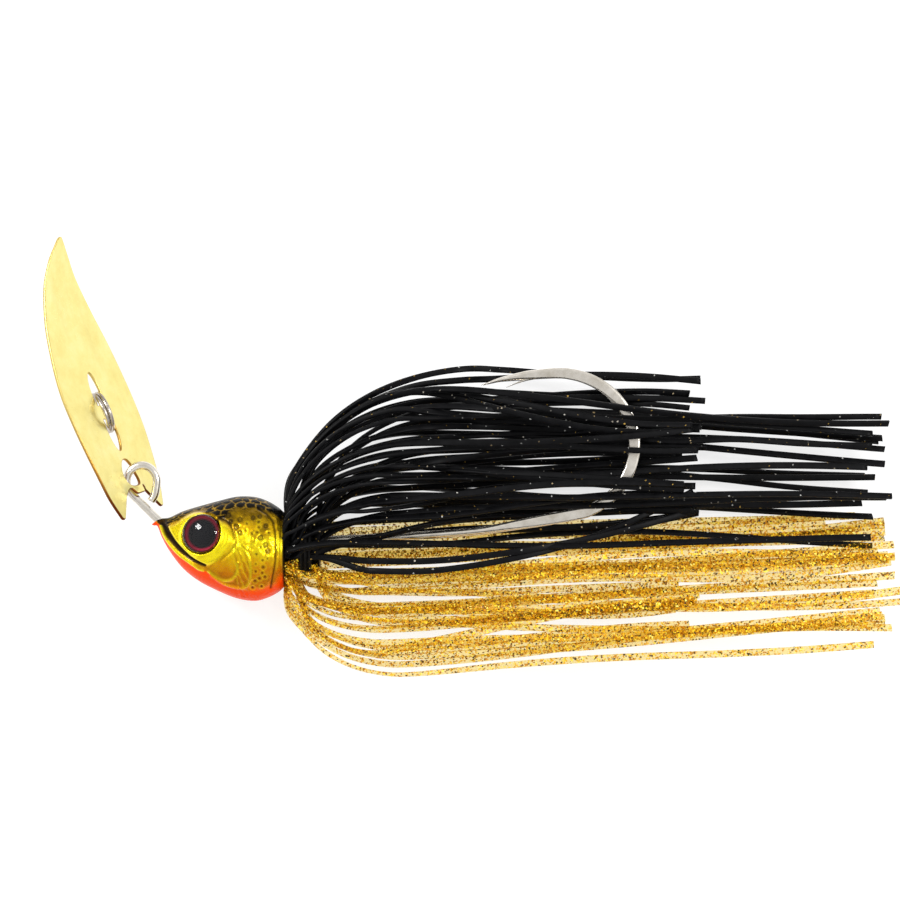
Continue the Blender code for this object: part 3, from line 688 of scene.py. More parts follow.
BACK_EDGE = (
    (-43.0, -8.4), (-42.0, -8.7), (-41.2, -9.6), (-40.4, -9.2), (-39.6, -8.7), (-38.2, -7.75), (-36.7, -7.05),
    (-35.4, -6.95), (-34.4, -7.35), (-33.8, -8.05), (-32.6, -8.2), (-32.2, -7.4), (-31.0, -6.7),
    (-29.8, -6.75), (-28.5, -6.8), (-27.1, -7.2), (-26.3, -7.6), (-25.0, -8.2),
)
INNER_LOBE = (
    (-34.64, -14.95), (-33.58, -15.75), (-32.66, -16.1), (-31.74, -15.95), (-31.08, -15.35),
    (-30.81, -14.5), (-30.88, -13.8),
)
OUTER_LOBE = (
    (-34.37, -15.5), (-33.06, -16.4), (-31.74, -16.9), (-30.42, -17.1), (-29.63, -16.7),
    (-29.23, -15.9), (-29.1, -14.86), (-29.17, -13.54), (-29.6, -12.4), (-30.4, -11.6),
)
REAR_LINE = ((-26.1, -8.6), (-25.8, -10.3), (-25.75, -12.2), (-25.95, -14.2), (-26.35, -16.1), (-26.6, -17.2))
REAR_ARC = ((-28.3, -6.7), (-26.9, -7.5), (-26.1, -8.5))
PLATE_ARC = (
    (-33.4, -7.9), (-32.4, -8.2), (-31.55, -9.2), (-31.15, -10.4), (-31.2, -11.5), (-31.9, -12.5),
    (-33.0, -13.4),
)
# Pores of the gill cover: x, y and radius.
RING_PORES = (
    (-32.13, -7.55, 0.36), (-31.8, -8.3, 0.3), (-30.95, -9.0, 0.4), (-30.42, -9.79, 0.36),
    (-30.55, -8.07, 0.36), (-27.98, -7.68, 0.3), (-28.84, -7.88, 0.33), (-27.12, -8.93, 0.36),
    (-27.78, -10.45, 0.38), (-27.12, -11.44, 0.4), (-26.86, -12.23, 0.33),
)
DOT_PORES = (
    (-28.11, -8.4, 0.2), (-28.05, -9.06, 0.22), (-26.73, -9.79, 0.2), (-28.24, -9.72, 0.2),
    (-28.9, -9.92, 0.2), (-27.78, -11.7, 0.2), (-28.31, -12.62, 0.25), (-27.52, -13.41, 0.2),
    (-27.45, -14.34, 0.27), (-28.44, -14.93, 0.2), (-27.59, -15.13, 0.2), (-27.98, -15.85, 0.25),
    (-28.57, -16.18, 0.24), (-27.26, -15.65, 0.22), (-28.97, -17.1, 0.22), (-27.78, -16.91, 0.2),
    (-29.6, -8.6, 0.18), (-29.7, -9.5, 0.18), (-28.4, -13.9, 0.16), (-26.9, -13.2, 0.16),
)
SCALE_SIZE = 1.3
YELLOW = colour(255, 232, 30)
GOLD = colour(226, 178, 18)
OLIVE = colour(126, 96, 10)
AMBER = colour(206, 124, 14)
BROWN = colour(56, 36, 6)
BLACK = colour(14, 12, 8)
ORANGE = colour(250, 72, 6)
NET_GOLD = colour(170, 132, 28)
# Paint from the belly to the back: y and colour.
BANDS = (
    (-19.0, AMBER), (-15.5, AMBER), (-13.0, GOLD), (-11.2, YELLOW), (-9.4, GOLD), (-7.6, OLIVE),
    (-5.0, OLIVE),
)


def head_sections():
    """Sections from the lip to the rear edge, then the rear face, the barrel and its end."""
    rows = spline(HEAD_SECTIONS, HEAD_ROWS)
    x, top, bottom, half_width = rows[-1]
    rear = []
    for angle in REAR_ANGLES:
        shrink = REAR_ROUNDING * (1 - math.cos(angle))
        rear.append((x + REAR_ROUNDING * math.sin(angle), top - shrink, bottom + shrink, half_width - shrink))
    low, high = AXIS_Y - BARREL_RADIUS, AXIS_Y + BARREL_RADIUS
    face = np.array(rear[-1])
    joined = np.array((face[0] + REAR_CONE, high, low, BARREL_RADIUS))
    rear += [face + (joined - face) * share for share in np.linspace(0.12, 1.0, 8)]
    barrel = np.linspace(face[0] + 2 * REAR_CONE, BARREL_END, 10)
    rear += [(along, high, low, BARREL_RADIUS) for along in barrel]
    rounding = BARREL_ROUNDING
    rear.append((BARREL_END + 0.12, high - rounding, low + rounding, BARREL_RADIUS - rounding))
    return np.vstack([rows, rear])


def hex_edge(u, v, size):
    """Distance to the nearest edge of a net of hexagons, their width being size."""
    rise = size * math.sqrt(3)
    best = np.full(u.shape, 1e9)
    second = np.full(u.shape, 1e9)
    for shift_u, shift_v in ((0.0, 0.0), (size / 2, rise / 2)):
        for near_u in (-1, 0, 1):
            for near_v in (-1, 0, 1):
                centre_u = (np.round((u - shift_u) / size) + near_u) * size + shift_u
                centre_v = (np.round((v - shift_v) / rise) + near_v) * rise + shift_v
                distance = np.hypot(u - centre_u, v - centre_v)
                second = np.minimum(second, np.maximum(best, distance))
                best = np.minimum(best, distance)
    return (second - best) / 2


def head_pattern(x, y, arc, wander):
    """Relief in millimetres, colour with painted shade and highlights, and metal of the head at side-view places.
    """
    relief = np.zeros(x.shape)
    shade = np.zeros((*x.shape, 3))
    heights, paints = zip(*BANDS)
    for channel, parts in enumerate(zip(*paints)):
        shade[..., channel] = np.interp(y + wander, heights, parts)
    metal = np.full(x.shape, 0.85)

    def cover(paint, mask, shine=None):
        nonlocal shade, metal
        mask = np.clip(mask, 0.0, 1.0)
        shade = shade + (np.array(paint) - shade) * mask[..., None]
        if shine is not None:
            metal = metal + (shine - metal) * mask

    gill = step(-31.2, -30.2, x)
    rays = np.sin((x + 0.34 * y) * 9.0 + 2.2 * wander)
    lower_gill = step(-31.6, -30.9, x) * (1 - step(-12.0, -11.0, y)) * (1 - step(-29.4, -28.8, x))
    relief += 0.05 * rays * lower_gill
    cover(OLIVE, 0.35 * step(0.4, 0.9, rays) * lower_gill)
    cover(YELLOW, 0.45 * step(0.5, 1.0, -rays) * lower_gill)
    crumple = step(0.05, 0.5, wander) * gill
    cover(BROWN, 0.45 * crumple * step(-13.5, -9.0, y))
    relief += 0.08 * wander * gill

    plate = depth_in(x, y, CHEEK_PLATE)
    relief += 0.42 * step(-0.15, 0.75, plate)
    cover(YELLOW, step(-0.05, 0.25, plate))
    cover(GOLD, 0.5 * step(-0.05, 0.1, plate) * (1 - step(0.15, 0.55, plate)))
    # Painted shadow along the plate's arc, over a shallow groove, and a softer painted shade just outside it.
    arc_line, arc_share = line_distance(x, y, PLATE_ARC)
    relief -= 0.16 * ridge(arc_line, 0.2)
    cover(BROWN, ridge(arc_line, 0.2) * (1 - 0.6 * arc_share), 0.3)
    shade_behind_arc = ridge(arc_line - 0.35, 0.3) * (plate < 0) * (1 - arc_share)
    cover(BROWN, 0.6 * step(0.0, 1.0, wander + 0.6) * shade_behind_arc)

    # Each gill lobe is a raised ridge with a painted highlight on its crest and a painted shade just below it.
    for outline, width, height in ((INNER_LOBE, 0.2, 0.16), (OUTER_LOBE, 0.22, 0.2)):
        line, _ = line_distance(x, y, outline)
        relief += height * ridge(line, width)
        cover(YELLOW, 0.75 * ridge(line, width * 0.8))
        below, _ = line_distance(x, y - 0.32, outline)
        cover(OLIVE, 0.4 * ridge(below, 0.16))

    net = hex_edge(x + 0.35 * wander, arc - 0.4 * wander, SCALE_SIZE)
    scales = step(-41.0, -40.0, x) * (1 - step(-27.2, -26.4, x))
    back_y = np.interp(x, *zip(*BACK_EDGE))
    back = step(-0.22, 0.3, y - back_y + 0.35 * wander)
    dark = np.maximum(back, 0.55 * step(-33.4, -32.8, x) * step(-31.0, -31.8, x) * step(-9.6, -8.2, y))
    cover(BLACK, dark, 0.12)
    fade = 0.75 * (1 - step(1.1, 2.6, y - back_y)) + 0.22
    cover(NET_GOLD, ridge(net, 0.065 + 0.03 * wander) * scales * back * fade * (0.8 + 0.5 * wander), 0.6)
    relief += 0.05 * step(0.0, 0.35, net) * scales * back

    # The mouth: a groove with painted shade in it, brown on its flanks and black down its middle, the black fading
    # towards its end.
    mouth, along = line_distance(x, y, MOUTH)
    groove = 0.66 - 0.32 * along
    relief -= 0.4 * ridge(mouth, groove * 0.8)
    cover(BROWN, 1 - step(0.7, 1.15, mouth / groove), 0.25)
    cover(BLACK, 0.9 * (1 - step(0.3, 0.9, mouth / groove)) * (1 - 0.7 * along), 0.1)

    belly_y = np.interp(x, *zip(*BELLY_EDGE))
    soft = 0.14 + 0.5 * step(-35.5, -31.0, x)
    cover(AMBER, 0.55 * step(-34.0, -28.0, x) * (1 - step(0.4, 3.0, y - belly_y)))
    cover(ORANGE, 1 - step(-soft, soft, y - belly_y + 0.15 * wander), 0.0)
    rim, _ = line_distance(x, y, LIP_RIM)
    relief += 0.16 * ridge(rim, 0.2)
    cover(YELLOW, 0.95 * ridge(rim, 0.12), 0.85)

    for centre_x, centre_y, radius in RING_PORES:
        distance = np.hypot(x - centre_x, y - centre_y)
        relief -= 0.09 * ridge(distance - radius * 0.75, 0.13)
        cover(BLACK, 0.85 * ridge(distance - radius * 0.75, 0.12), 0.2)
        cover(BLACK, 0.7 * ridge(distance, radius * 0.4), 0.2)
    for centre_x, centre_y, radius in DOT_PORES:
        distance = np.hypot(x - centre_x, y - centre_y)
        relief -= 0.1 * ridge(distance, radius)
        cover(BLACK, 0.95 * ridge(distance, radius * 0.85), 0.2)
        cover(YELLOW, 0.3 * ridge(distance - radius * 1.5, 0.08))
    for outline in (REAR_LINE, REAR_ARC):
        line, _ = line_distance(x, y, outline)
        relief -= 0.14 * ridge(line, 0.15)
        cover(BLACK, 0.85 * ridge(line, 0.12), 0.3)
    cover(BLACK, step(-25.2, -24.9, x), 0.1)
    return relief, shade, metal


def eye_matrix(side):
    """The eye's frame: its origin in the head below the eye, its Z out of the eye."""
    outward = Vector((-math.sin(EYE_TILT_NOSE), math.sin(EYE_TILT_BACK), side * math.cos(EYE_TILT_NOSE)))
    turn = Vector((0, 0, 1)).rotation_difference(outward).to_matrix().to_4x4()
    lean = outward / abs(outward.z)
    at = place(*EYE) - Vector((lean.x, lean.y, 0)) * EYE_SURFACE * MM
    return Matrix.Translation(at) @ turn


def press_sockets(points):
    """Flattens the head under each eye and raises a rim round it."""
    for side in (1, -1):
        frame_of_eye = np.array(eye_matrix(side).inverted())
        local = points @ frame_of_eye[:3, :3].T + frame_of_eye[:3, 3]
        radius = np.hypot(local[:, 0], local[:, 1]) / MM
        facing = local[:, 2] > 0
        sunk = np.minimum(local[:, 2], SOCKET_FLOOR * MM)
        share = np.where(facing, 1 - step(*SOCKET_EDGE, radius - EYE_RADIUS), 0.0)
        height = local[:, 2] + (sunk - local[:, 2]) * share
        height += np.where(facing, RIM_SIZE * MM * ridge(radius - EYE_RADIUS - RIM_AT, RIM_SIZE), 0.0)
        moved = np.column_stack([local[:, 0], local[:, 1], height])
        back = np.array(eye_matrix(side))
        points = moved @ back[:3, :3].T + back[:3, 3]
    return points


def make_head(material):
    """The casting: rings round its sections, pushed in and out by the relief, with paint, painted shade and
    painted highlights on each vertex.
    """
    sections = head_sections()
    angles = np.linspace(0, 2 * math.pi, HEAD_COLUMNS, endpoint=False)
    x = np.repeat(sections[:, 0:1], HEAD_COLUMNS, axis=1)
    middle = (sections[:, 1:2] + sections[:, 2:3]) / 2
    half_height = (sections[:, 1:2] - sections[:, 2:3]) / 2
    y = middle + half_height * np.cos(angles)[None, :]
    z = sections[:, 3:4] * np.sin(angles)[None, :]
    arc = np.abs(np.where(angles > math.pi, angles - 2 * math.pi, angles))[None, :] * ARC_RADIUS + 0 * x
    flat = np.column_stack([x.ravel(), y.ravel(), z.ravel()])
    wander = cloud(flat, WANDER_SCALE).reshape(x.shape)
    relief, shade, metal = head_pattern(x, y, arc, wander)

    surface = np.stack([x, y, z], axis=-1)
    along = np.gradient(surface, axis=0)
    around = (np.roll(surface, -1, axis=1) - np.roll(surface, 1, axis=1)) / 2
    normal = np.cross(around, along)
    normal /= np.maximum(np.linalg.norm(normal, axis=-1, keepdims=True), 1e-9)
    from_middle = surface - np.stack([x, middle + 0 * x, 0 * z], axis=-1)
    outward = np.sign(np.sum(normal * from_middle, axis=-1, keepdims=True))
    normal *= np.where(outward == 0, 1, outward)
    sideways = step(*RELIEF_FACING, np.abs(normal[..., 2]))
    on_head = 1 - step(*RELIEF_END, x)
    surface = surface + normal * (relief * sideways * on_head)[..., None]

    points = np.array([place(*p) for p in surface.reshape(-1, 3)])
    points = press_sockets(points)
    faces = grid_faces(len(sections), HEAD_COLUMNS)
    head = make_piece("head", points, faces, material, "jig", ["head_casting"])
    paint = head.data.attributes.new("paint", "FLOAT_COLOR", "POINT")
    rgba = np.concatenate([shade.reshape(-1, 3), np.ones((len(points), 1))], axis=1)
    paint.data.foreach_set("color", rgba.ravel())
    shine = head.data.attributes.new("metal", "FLOAT", "POINT")
    shine.data.foreach_set("value", metal.ravel())
    return head


# Eyes and collar.


def turned(name, profile, matrix, material, body, replaced):
    """A piece turned round its Z, from a profile of radius and height that starts and ends on the axis."""
    sides = TURNED_SIDES
    vertices = [Vector((0, 0, profile[0][1])) * MM]
    for radius, height in profile[1:-1]:
        for angle in np.linspace(0, 2 * math.pi, sides, endpoint=False):
            vertices.append(Vector((radius * math.cos(angle), radius * math.sin(angle), height)) * MM)
    vertices.append(Vector((0, 0, profile[-1][1])) * MM)
    faces = []
    rings = len(profile) - 2
    for side in range(sides):
        beside = (side + 1) % sides
        faces.append((0, 1 + side, 1 + beside))
        for ring in range(rings - 1):
            low = 1 + ring * sides
            faces.append((low + side, low + sides + side, low + sides + beside, low + beside))
        low = 1 + (rings - 1) * sides
        faces.append((len(vertices) - 1, low + beside, low + side))
    piece = make_piece(name, vertices, faces, material, body, replaced)
    piece.matrix_world = matrix
    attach(piece, body)
    return piece


def make_eye(side, label, foil, resin):
    """A foil disc in its socket, and a clear dome just above it."""
    low = EYE_FLOOR + EYE_GAP
    high = low + DISC_THICKNESS
    disc = (
        (0.0, high - 0.1), (PUPIL_RADIUS * 0.6, high - 0.08), (PUPIL_RADIUS, high - 0.03),
        (PUPIL_RADIUS + 0.05, high), (EYE_RADIUS - 0.25, high), (EYE_RADIUS - 0.06, high - 0.03),
        (EYE_RADIUS, high - 0.12), (EYE_RADIUS, low), (0.0, low),
    )
    turned("iris_" + label, disc, eye_matrix(side), foil, "jig", ["eye_disc_" + label])
    base = high + EYE_GAP
    dome = [(0.0, base + DOME_HEIGHT)]
    for angle in DOME_ANGLES:
        height = DOME_EDGE + (DOME_HEIGHT - DOME_EDGE) * math.sin(angle)
        dome.append((EYE_RADIUS * math.cos(angle), base + height))
    dome += [(EYE_RADIUS - 0.03, base + 0.02), (EYE_RADIUS - 0.1, base), (0.0, base)]
    turned("cornea_" + label, dome, eye_matrix(side), resin, "jig", ["eye_dome_" + label])


def make_collar(material):
    """A rubber band with rounded ribs."""
    width = COLLAR[1] - COLLAR[0]
    middle = (COLLAR[0] + COLLAR[1]) / 2
    inner, outer = COLLAR_RADII
    profile = []
    for share in np.linspace(0, 1, RIB_SAMPLES):
        rib = abs(math.sin(RIBS * math.pi * share))
        profile.append((outer - RIB_HEIGHT * (1 - rib), (share - 0.5) * width * RIBBED_SHARE))
    profile += [(inner, width / 2), (inner, -width / 2)]
    vertices = []
    for angle in np.linspace(0, 2 * math.pi, TURNED_SIDES, endpoint=False):
        for radius, shift in profile:
            y = AXIS_Y + radius * math.cos(angle)
            vertices.append(place(middle + shift, y, radius * math.sin(angle)))
    count = len(profile)
    faces = []
    for side in range(TURNED_SIDES):
        beside = (side + 1) % TURNED_SIDES
        for i in range(count):
            after = (i + 1) % count
            faces.append((side * count + i, side * count + after, beside * count + after, beside * count + i))
    return make_piece("collar_band", vertices, faces, material, "jig", ["skirt_collar"])


# Blade and ring.


def blade_matrix():
    """The blade's frame, from its line tie and its ring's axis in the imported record."""
    tie = frame["record"]["mounts"][0]
    out = -Vector(tie["axis"]).normalized()
    turn = Vector(JOINTS["ring_turn"]["axis"])
    across = (turn - out * turn.dot(out)).normalized()
    along = across.cross(out)
    if along.dot(EYE_OF_HOOK - Vector(tie["pos_m"])) < 0:
        along, across = -along, -across
    rows = Matrix((along, across, out)).transposed().to_4x4()
    return Matrix.Translation(Vector(tie["pos_m"])) @ rows


def rounded_loop(corners, spacing=0.3):
    """A closed outline with its corners rounded, from points with a radius each, evenly resampled."""
    points = []
    count = len(corners)
    for i, (x, y, radius) in enumerate(corners):
        here = np.array((x, y))
        before = np.array(corners[i - 1][:2]) - here
        after = np.array(corners[(i + 1) % count][:2]) - here
        start = here + before / np.linalg.norm(before) * min(radius, np.linalg.norm(before) * 0.48)
        end = here + after / np.linalg.norm(after) * min(radius, np.linalg.norm(after) * 0.48)
        steps = 8 if radius > 0.05 else 1
        for t in np.linspace(0, 1, steps + 1) if steps > 1 else [0.5]:
            points.append((1 - t) ** 2 * start + 2 * t * (1 - t) * here + t**2 * end)
    closed = np.array([*points, points[0]])
    length = np.linalg.norm(np.diff(closed, axis=0), axis=1).sum()
    return even(closed, int(length / spacing) + 1)[:-1]


def inset(loop, distance):
    """The loop moved to its left by a distance."""
    run = np.roll(loop, -1, axis=0) - np.roll(loop, 1, axis=0)
    run /= np.linalg.norm(run, axis=1)[:, None]
    return loop + np.column_stack([-run[:, 1], run[:, 0]]) * distance


def blade_loops():
    """The outer outline, anticlockwise, and the three holes, clockwise."""
    edge = spline(BLADE_OUTLINE, 60)[1:-1, :2]
    tip = (BLADE_OUTLINE[0][0], 0.0, 0.5)
    right = [(along, -half, 0.0) for along, half in edge]
    left = [(along, half, 0.0) for along, half in reversed(edge)]
    other_half = [(along, -across, radius) for along, across, radius in reversed(TAIL)]
    outer = rounded_loop([tip, *right, *TAIL, *other_half, *left])
    other_slot = [(-along, -across, radius) for along, across, radius in SLOT]
    return [outer, *(rounded_loop(hole, HOLE_SPACING) for hole in (SLOT, other_slot, EYE_HOLE))]


def blade_rise(along, across):
    """How far the sheet stands out: its own bend, and the tongue lifted to clear the hook's eye."""
    rows = spline(BLADE_OUTLINE, 120)
    rise = np.interp(along, rows[:, 0], rows[:, 2])
    lifted = np.clip((along - TONGUE_LIFT[0]) / TONGUE_LIFT[1], 0, 1)
    beside = np.maximum(0.0, 1.0 - (across / TONGUE_LIFT_HALF_WIDTH) ** 2)
    return rise + lifted * beside


def sheet(inner, support):
    """A flat mesh between the inner loops: its points, its triangles and each loop's point numbers."""
    points = []
    edges = []
    starts = []
    for loop in [*inner, *support]:
        start = len(points)
        starts.append(start)
        points += [Vector(p) for p in loop]
        edges += [(start + i, start + (i + 1) % len(loop)) for i in range(len(loop))]
    spans = (np.arange(low, high, SHEET_SPACING) for low, high in zip(SHEET_LOW, SHEET_HIGH))
    u, v = (grid.ravel() for grid in np.meshgrid(*spans))
    keep = between_loops(u, v, support)
    for loop in support:
        closed = np.vstack([loop, loop[:1]])
        keep &= line_distance(u, v, closed, smooth=False)[0] > SUPPORT_MARGIN
    points += [Vector(p) for p in zip(u[keep], v[keep])]
    made, _, triangles, origins, _, _ = delaunay_2d_cdt(points, edges, [], 0, 1e-6)
    flat = np.array([tuple(p) for p in made])
    number_of = {old: new for new, olds in enumerate(origins) for old in olds}
    rims = [[number_of[start + i] for i in range(len(loop))] for start, loop in zip(starts, inner)]
    middles = flat[np.array(triangles)].mean(axis=1)
    solid = between_loops(*middles.T, inner)
    return flat, [tuple(triangle) for triangle, used in zip(triangles, solid) if used], rims


def make_blade(material):
    """A sheet with holes and a rounded rim: two faces and, round each loop, a half-round edge."""
    loops = blade_loops()
    inner = [inset(loop, BLADE_RIM) for loop in loops]
    support = [inset(loop, BLADE_RIM + SUPPORT_INSET) for loop in loops]
    flat, triangles, face_rims = sheet(inner, support)
    half = BLADE_THICKNESS / 2
    count = len(flat)
    local = [(*p, half) for p in flat] + [(*p, -half) for p in flat]
    faces = triangles + [tuple(count + i for i in reversed(t)) for t in triangles]
    for face_rim, loop in zip(face_rims, inner):
        rims = [face_rim]
        for angle in RIM_ANGLES:
            out = inset(loop, -BLADE_RIM * math.sin(angle))
            level = (half - BLADE_RIM) * np.sign(round(math.cos(angle), 6)) + BLADE_RIM * math.cos(angle)
            rims.append(list(range(len(local), len(local) + len(loop))))
            local += [(*p, level) for p in out]
        rims.append([count + i for i in face_rim])
        for upper, lower in zip(rims[:-1], rims[1:]):
            for i in range(len(loop)):
                after = (i + 1) % len(loop)
                faces.append((upper[i], lower[i], lower[after], upper[after]))
    local = np.array(local)
    local[:, 2] += blade_rise(local[:, 0], local[:, 1])
    vertices = [Vector(p) * MM for p in local]
    piece = make_piece("leaf_blade", vertices, faces, material, "blade_body", ["blade"])
    cut = piece.data.attributes.new("cut_edge", "FLOAT", "POINT")
    cut.data.foreach_set("value", [float(i >= 2 * count) for i in range(len(vertices))])
    piece.matrix_world = blade_matrix()
    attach(piece, "blade_body")
    return piece


def make_ring(material):
    """Two turns of wire, side by side, with cut ends."""
    middle = sum(RING_ANGLES) / 2
    path = []
    for angle in np.linspace(*RING_ANGLES, RING_SECTIONS):
        share = max(-1.0, min(1.0, (angle - middle) / RING_STEP_HALF))
        across = RING_PITCH / 2 * math.sin(share * math.pi / 2)
        path.append((RING_RADIUS * math.cos(angle), across, RING_RADIUS * math.sin(angle) - RING_OFFSET))
    path = np.array(path)
    runs = np.gradient(path, axis=0)
    across, up = rounded_section(RING_SIDES, RING_SQUARENESS)
    vertices = []
    for point, run in zip(path, runs):
        outward = np.array((point[0], 0.0, point[2] + RING_OFFSET)) / RING_RADIUS
        beside = np.cross(run / np.linalg.norm(run), outward)
        for side, lift in zip(across, up):
            corner = point + (beside * side + outward * lift) * RING_WIRE_RADIUS
            vertices.append(Vector(corner) * MM)
    faces = grid_faces(RING_SECTIONS, RING_SIDES)
    piece = make_piece("line_ring", vertices, faces, material, "ring_body", ["split_ring"])
    piece.matrix_world = blade_matrix() @ Matrix.Rotation(RING_TILT, 4, "X")
    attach(piece, "ring_body")
    return piece


# Skirt.


def strand_centres(name):
    """A strand's path from the collar to its tip: the middles of the rings of four of its CAD tube."""
    mesh = frame["nodes"][name].data
    corners = np.array([v.co for v in mesh.vertices])
    unique, where = np.unique(np.round(corners, 6), axis=0, return_inverse=True)
    where = where.ravel()
    beside = [set() for _ in unique]
    for face in mesh.polygons:
        ring = [where[i] for i in face.vertices]
        for a, b in zip(ring, ring[1:] + ring[:1]):
            beside[a].add(b)
            beside[b].add(a)
    layer = set(np.argsort(unique[:, 0])[-4:].tolist())
    seen = set(layer)
    middles = []
    while layer:
        middles.append(unique[sorted(layer)].mean(axis=0))
        layer = {b for a in layer for b in beside[a]} - seen
        seen |= layer
    return np.array(middles[::-1])


def into_collar(first):
    """Where a strand that starts at this point leaves the grip of the collar."""
    axis = place(0, AXIS_Y)
    from_axis = Vector((0, first[1] - axis.y, first[2] - axis.z)).normalized()
    x = min(max(first[0], place(COLLAR[0] + GRIP_MARGIN, 0).x), place(COLLAR[1] - GRIP_MARGIN, 0).x)
    return np.array(Vector((x, axis.y, axis.z)) + from_axis * (COLLAR_RADII[0] + GRIP_HEIGHT) * MM)


def ribbon(name, centres, material, replaced, dice):
    """A flat silicone ribbon with rounded edges, laid flat towards its tip, which is cut off square."""
    path = even(spline([into_collar(centres[0]), *centres], 400), STRAND_RINGS)
    share = np.linspace(0, 1, STRAND_RINGS)
    for axis_number, most in ((1, WANDER_Y), (2, WANDER_Z)):
        waves = dice.uniform(*WAVES) * share + dice.uniform(0, 2 * math.pi)
        path[:, axis_number] += dice.uniform(*WAVE_SHARES) * most * MM * np.sin(waves) * step(0.2, 0.7, share)
    runs = np.gradient(path, axis=0)
    runs /= np.linalg.norm(runs, axis=1)[:, None]
    axis = place(0, AXIS_Y)
    radial = np.array((0.0, centres[0][1] - axis.y, centres[0][2] - axis.z))
    flat_side = np.cross(runs[0], radial)
    sides = []
    for run in runs:
        flat_side = flat_side - run * (flat_side @ run)
        flat_side /= np.linalg.norm(flat_side)
        sides.append(flat_side)
    other_sides = np.cross(runs, sides)
    level = np.cross(runs[-1], (0.0, 0.0, 1.0))
    lying = math.atan2(level @ other_sides[-1], level @ sides[-1])
    lying = (lying + math.pi / 2) % math.pi - math.pi / 2 + dice.uniform(-LIE_SPREAD, LIE_SPREAD)
    start_turn = dice.uniform(-START_TURN, START_TURN)
    swing = dice.uniform(-SWING, SWING)
    phase = dice.uniform(0, 2 * math.pi)
    width = STRAND_WIDTHS[name.split("_")[0]] * dice.uniform(1 - WIDTH_SPREAD, 1 + WIDTH_SPREAD)
    slant = dice.uniform(-CUT_SLANT, CUT_SLANT) * width * MM
    across, up = rounded_section(STRAND_SIDES, STRAND_SQUARENESS)
    vertices = []
    turns = start_turn + lying * step(0.1, 0.6, share) + swing * np.sin(phase + 5.0 * share)
    for i, (point, run, turn) in enumerate(zip(path, runs, turns)):
        wide = sides[i] * math.cos(turn) + other_sides[i] * math.sin(turn)
        thin = np.cross(run, wide)
        end_cut = slant if i == STRAND_RINGS - 1 else 0.0
        for side, lift in zip(across, up):
            corner = point + wide * side * width / 2 * MM + thin * lift * STRAND_THICKNESS / 2 * MM
            corner[2] = max(corner[2], FLOOR_GAP)
            vertices.append(corner + run * side * end_cut)
    faces = grid_faces(STRAND_RINGS, STRAND_SIDES)
    return make_piece(name, vertices, faces, material, "jig", replaced)


def between(own, neighbour, dice):
    """A path beside a strand's own, half way to its neighbour at the shoulder and closer to it at the tip."""
    share = np.linspace(0, 1, len(own))[:, None]
    way = dice.uniform(0.35, 0.6) * (1 - 0.45 * share)
    apart = neighbour - own
    apart[:, 0] *= 1 - share[:, 0]
    drift = np.array((0.0, dice.uniform(-1.3, 1.3), dice.uniform(-0.8, 0.8))) * MM
    path = own + apart * way + drift * share
    path[:, 0] += dice.uniform(-2.5, 1.5) * MM * share[:, 0] ** 2
    return path


def crossing(own, other):
    """A path that leaves a strand's own for another one's tip, lifted over the strands between them."""
    share = np.linspace(0, 1, len(own))[:, None]
    path = own + (other - own) * step(0.3, 1.0, share)
    path[:, 2] += CROSSING_LIFT * MM * np.sin(math.pi * share[:, 0])
    return path


def tucked(own, number):
    """A path beside the topmost strand of a colour, up behind the other colour's strands."""
    share = np.linspace(0, 1, len(own))
    path = own.copy()
    path[:, 0] -= TUCK_SHORTER * (number % 3) * MM * share
    path[:, 1] += (number - 1.5) * TUCK_STEP * MM * step(0.0, 0.3, share) * (1 - 0.7 * step(0.5, 1.0, share))
    path[:, 2] -= TUCK_DEPTH * MM * step(0.0, 0.4, share)
    return path


def dipping(own, other, number):
    """A path over the front of the other colour's strands, up to the tip of another of its own."""
    start, tip = own[0], other[-1]
    along = (own[:, 0] - start[0]) / (own[-1, 0] - start[0])
    dip = (DIP + number * DIP_STEP) * MM
    rise = np.clip((along - 0.3) / 0.7, 0, 1) ** 1.5
    front = DATUM.z + DIP_FRONT * MM
    out_front = (front - start[2]) * step(0.0, 0.2, along)
    back_in = (tip[2] - front) * step(0.5, 1.0, along)
    path = own.copy()
    path[:, 1] = start[1] - dip * step(0.0, 0.15, along) + (tip[1] - start[1] + dip) * rise
    path[:, 2] = start[2] + out_front + back_in
    return path


def make_skirt(colour_name, material, filled, tuck_count=0, dip_count=0):
    """Every CAD strand as a ribbon, and the strands past its limit on nodes between neighbours."""
    dice = np.random.default_rng(SKIRT_SEED)

    def extra(kind, number, path):
        ribbon(f"{colour_name}_{kind}_{number:02d}", path, material, [], dice)

    names = [name for name in sorted(frame["nodes"]) if name.startswith(colour_name + "_strand")]
    paths = [strand_centres(name) for name in names]
    for name, path in zip(names, paths):
        ribbon(name.replace("strand", "skirt"), path, material, [name], dice)
    added = 0
    for first, second in zip(paths[:-1], paths[1:]):
        if np.linalg.norm(first[0] - second[0]) > NEIGHBOUR_REACH * MM or dice.random() > filled:
            continue
        added += 1
        extra("filler", added, between(first, second, dice))
    ordered = sorted(paths, key=lambda path: path[-1][1])
    for number in range(STRAYS):
        start = int(dice.integers(0, len(ordered) - STRAY_REACH))
        own, other = dice.permutation([ordered[start], ordered[start + STRAY_REACH]])
        extra("stray", number + 1, crossing(own, other))
    for number in range(tuck_count):
        extra("tucked", number + 1, tucked(ordered[-1], number))
    in_front = [path for path in paths if path[0][2] > DATUM.z]
    lowest = min(in_front, key=lambda path: path[0][1])
    for number in range(dip_count):
        extra("dipping", number + 1, dipping(lowest, ordered[(number + 1) * DIP_RISE], number))


# Studio.


